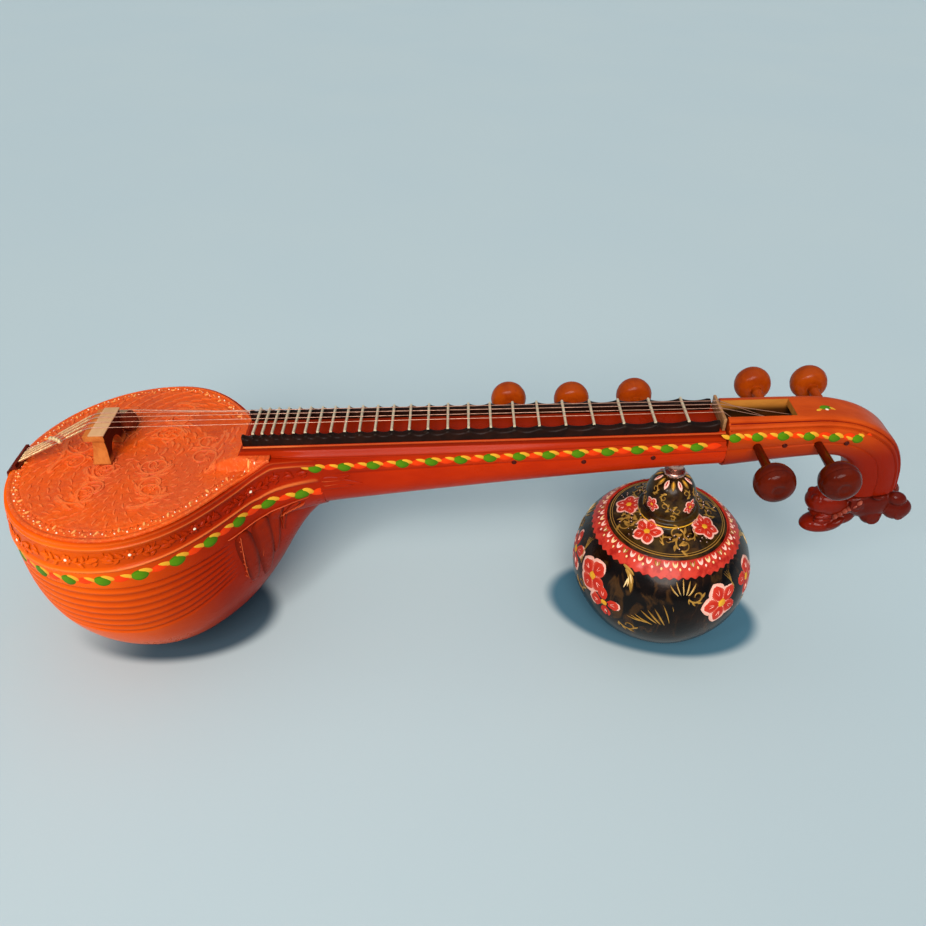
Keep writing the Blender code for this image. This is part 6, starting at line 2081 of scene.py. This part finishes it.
def makeGourdPainting():
    marks = Strokes()
    seamS = chart.downAt(radius=gourd["capRadius"])

    def at(degrees, s):
        shift = seamS - measuredSeam if s > bulbEnd else 0.0
        return chart.placer(math.radians(degrees), s + shift)

    # Dome: four large blossoms, gold scrolls and dark berries between them
    for k, (angle, s) in enumerate(capPaint["dome"]):
        blossom(marks, at(angle, s), 0.0, 0.0, 0.0225, 6 if k % 2 else 5, 0.3 + 1.7 * k)
    for k, angle in enumerate(capPaint["scrolls"]):
        wide = 1.0 if k < 3 else 0.55
        place = at(angle, .1160)
        for row in domeScrolls:
            goldSpray(marks, place, *row)
        for x, *row in domeEndScrolls:
            goldSpray(marks, place, x * wide, *row)
        berries(marks, place, [(0.0, 0.0), (0.006, -0.003), (-0.006, 0.004), (0.014, 0.000),
                               (-0.014, -0.002), (0.002, 0.016), (-0.004, -0.018)], 0.0031)
        berries(marks, at(angle + 30 * wide, .1290),
                [(-0.006, 0.0), (0.0, 0.003), (0.006, -0.001), (0.002, -0.006)], 0.0022)
    # Bulb: blossoms low down, gold scrolls over the rest, pale petals round its shoulder
    for k, (angle, s) in enumerate(capPaint["bulb"]):
        blossom(marks, at(angle, s), 0.0, 0.0, 0.0120, 5, 0.9 * k)
        between = at(angle + 46, 0.0540)
        for row in bulbScrolls:
            goldSpray(marks, between, *row)
        for row in bulbHighScrolls:
            goldSpray(marks, at(angle + 8, 0.0350), *row)
        berries(marks, between, [(0.0, 0.0), (0.004, -0.002), (-0.004, 0.002)], 0.0018)
    shoulderS = chart.downAt(level=gourd["bulbTop"] - 0.004)
    for k in range(14):
        place = chart.placer(2 * math.pi * k / 14, shoulderS)
        marks.leaf((0.0, 0.007), -math.pi / 2, 0.0170, 0.0036, 0.0007, 1 if k % 2 else 3, steps=7,
                   tip=0.5, place=place)
        marks.leaf((0.0, 0.0055), -math.pi / 2, 0.0120, 0.0017, 0.0010, 0 if k % 2 else 2, steps=6,
                   tip=0.5, place=place)
    # Yellow line round the bulb's foot, and rings at the seam
    for s, width, kind, height in ((chart.downAt(radius=1.165 * gourd["bulb"]), 0.0011, 2, 0.0006),
                                   (seamS + 0.0012, 0.0009, 3, 0.0007),
                                   (seamS - 0.0022, 0.0006, 3, 0.0005)):
        ringStroke(marks, s, width, height, kind)
    # Red band: small sprigs of three leaves, and pale teeth along its outer edge
    for k in range(48):
        place = at(7.5 * (k + 0.5), 0.1580)
        tint = (1, 3, 1, 5)[k % 4]
        for hand in (-1, 1):
            marks.leaf((0.0, -0.0052), math.pi / 2 - hand * 0.62, 0.0105, 0.0015, 0.0007, tint,
                       bend=hand * 50.0, steps=6, across=3, place=place)
        marks.leaf((0.0, -0.0052), math.pi / 2, 0.0072, 0.0012, 0.0008, 1, steps=6, across=3,
                   place=place)
        edge = at(7.5 * k, 0.1655)
        marks.leaf((0.0, 0.0026), -math.pi / 2, 0.0050, 0.0018, 0.0006, 1 if k % 2 else 5, steps=5,
                   across=3, place=edge)
    # Body, three times round
    for turn in (0, 120, 240):
        for angle, s, radius, petals, lean in bodyPaint["blossoms"]:
            place = at(angle + turn, s)
            blossom(marks, place, 0.0, 0.0, radius, petals, lean)
            goldSpray(marks, place, radius * 0.9, -radius * 0.8, 0.0200, 5.2, 1, 1.3)
        angle, s = bodyPaint["grass"]
        place = at(angle + turn, s)
        for j in range(5):
            lean = math.pi / 2 + 0.42 * (j - 2)
            marks.leaf((0.003 * (2 - j), -0.006), lean, 0.030 - 0.003 * abs(j - 2), 0.0022, 0.0005,
                       3, bend=-10.0 * (j - 2), steps=8, across=3, place=place)
            marks.leaf((0.003 * (2 - j), -0.005), lean, 0.024 - 0.003 * abs(j - 2), 0.0008, 0.0009,
                       5, bend=-10.0 * (j - 2), steps=7, across=2, place=place)
        goldSpray(marks, place, 0.006, -0.008, 0.0170, 5.3, 1, 1.4)
        # Gold leaves and pale gold strokes on the shoulder, standing for a window's reflection
        # there: a painted reflection.
        angle, s = bodyPaint["leavesAndReflection"]
        place = at(angle + turn, s)
        for j in range(4):
            marks.leaf((-0.014 + 0.006 * j, 0.006 - 0.004 * j), -0.2 - 0.28 * j, 0.026, 0.0036,
                       0.0006, 3, bend=-14.0, vein=0.0002, steps=8, across=4, place=place)
        for j in range(3):
            marks.leaf((0.002, -0.002 - 0.004 * j), -0.9 - 0.30 * j, 0.018, 0.0016, 0.0009, 5,
                       bend=-20.0, steps=7, across=3, place=place)
        angle, s = bodyPaint["arcs"]
        place = at(angle + turn, s)
        for j in range(9):
            marks.leaf((0.036 - 0.006 * j, -0.030 + 0.002 * (j % 3)), 1.25 + 0.26 * j,
                       0.044 - 0.002 * j, 0.0016, 0.00045, 3, bend=16.0 - 4.0 * j, steps=10,
                       across=3, place=place)
        angle, s = bodyPaint["reeds"]
        place = at(angle + turn, s)
        for j in range(4):
            marks.leaf((0.004 * j - 0.006, -0.016), 1.35 + 0.16 * j, 0.050, 0.0012, 0.00045, 3,
                       bend=6.0, steps=9, across=3, place=place)
    piece = marks.lay("gourdPainting", chart.spot, outward=-1.0)
    return settle(piece, gourdInks, body="gourd")


def ringStroke(marks, s, width, height, kind):
    base = len(marks.points)
    count = 96
    for k in range(count):
        for j, h in enumerate((-0.0001, height, height, -0.0001)):
            offset = (-1.0, -0.4, 0.4, 1.0)[j] * width
            marks.points.append((2 * math.pi * k / count, s + offset, h))
            marks.uvs.append((0.3, j / 3))
    for k in range(count):
        n = (k + 1) % count
        for j in range(3):
            a, b = base + 4 * k + j, base + 4 * n + j
            marks.faces.append((a, b, b + 1, a + 1))
            marks.kinds.append(kind)


makeGourdShell()
makeGourdCap()
makeStalk()
makeGourdPainting()
print("gourd made")


# The nodes that keep their own shape get their finish

kept = {"tailpiece": "tailMetal"}
for nodeName, count, paint in (("main_string", 4, "steel"), ("tuning_bead", 4, "goldWire"),
                               ("drone_string", 3, "steel")):
    for number in range(1, count + 1):
        kept[f"{nodeName}_{number}"] = paint
for node, paint in kept.items():
    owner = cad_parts[node]
    if not owner.data.materials:
        owner.data.materials.append(None)
    for index in range(len(owner.data.materials)):
        owner.data.materials[index] = finishes[paint]
print("kept nodes finished:", len(kept))
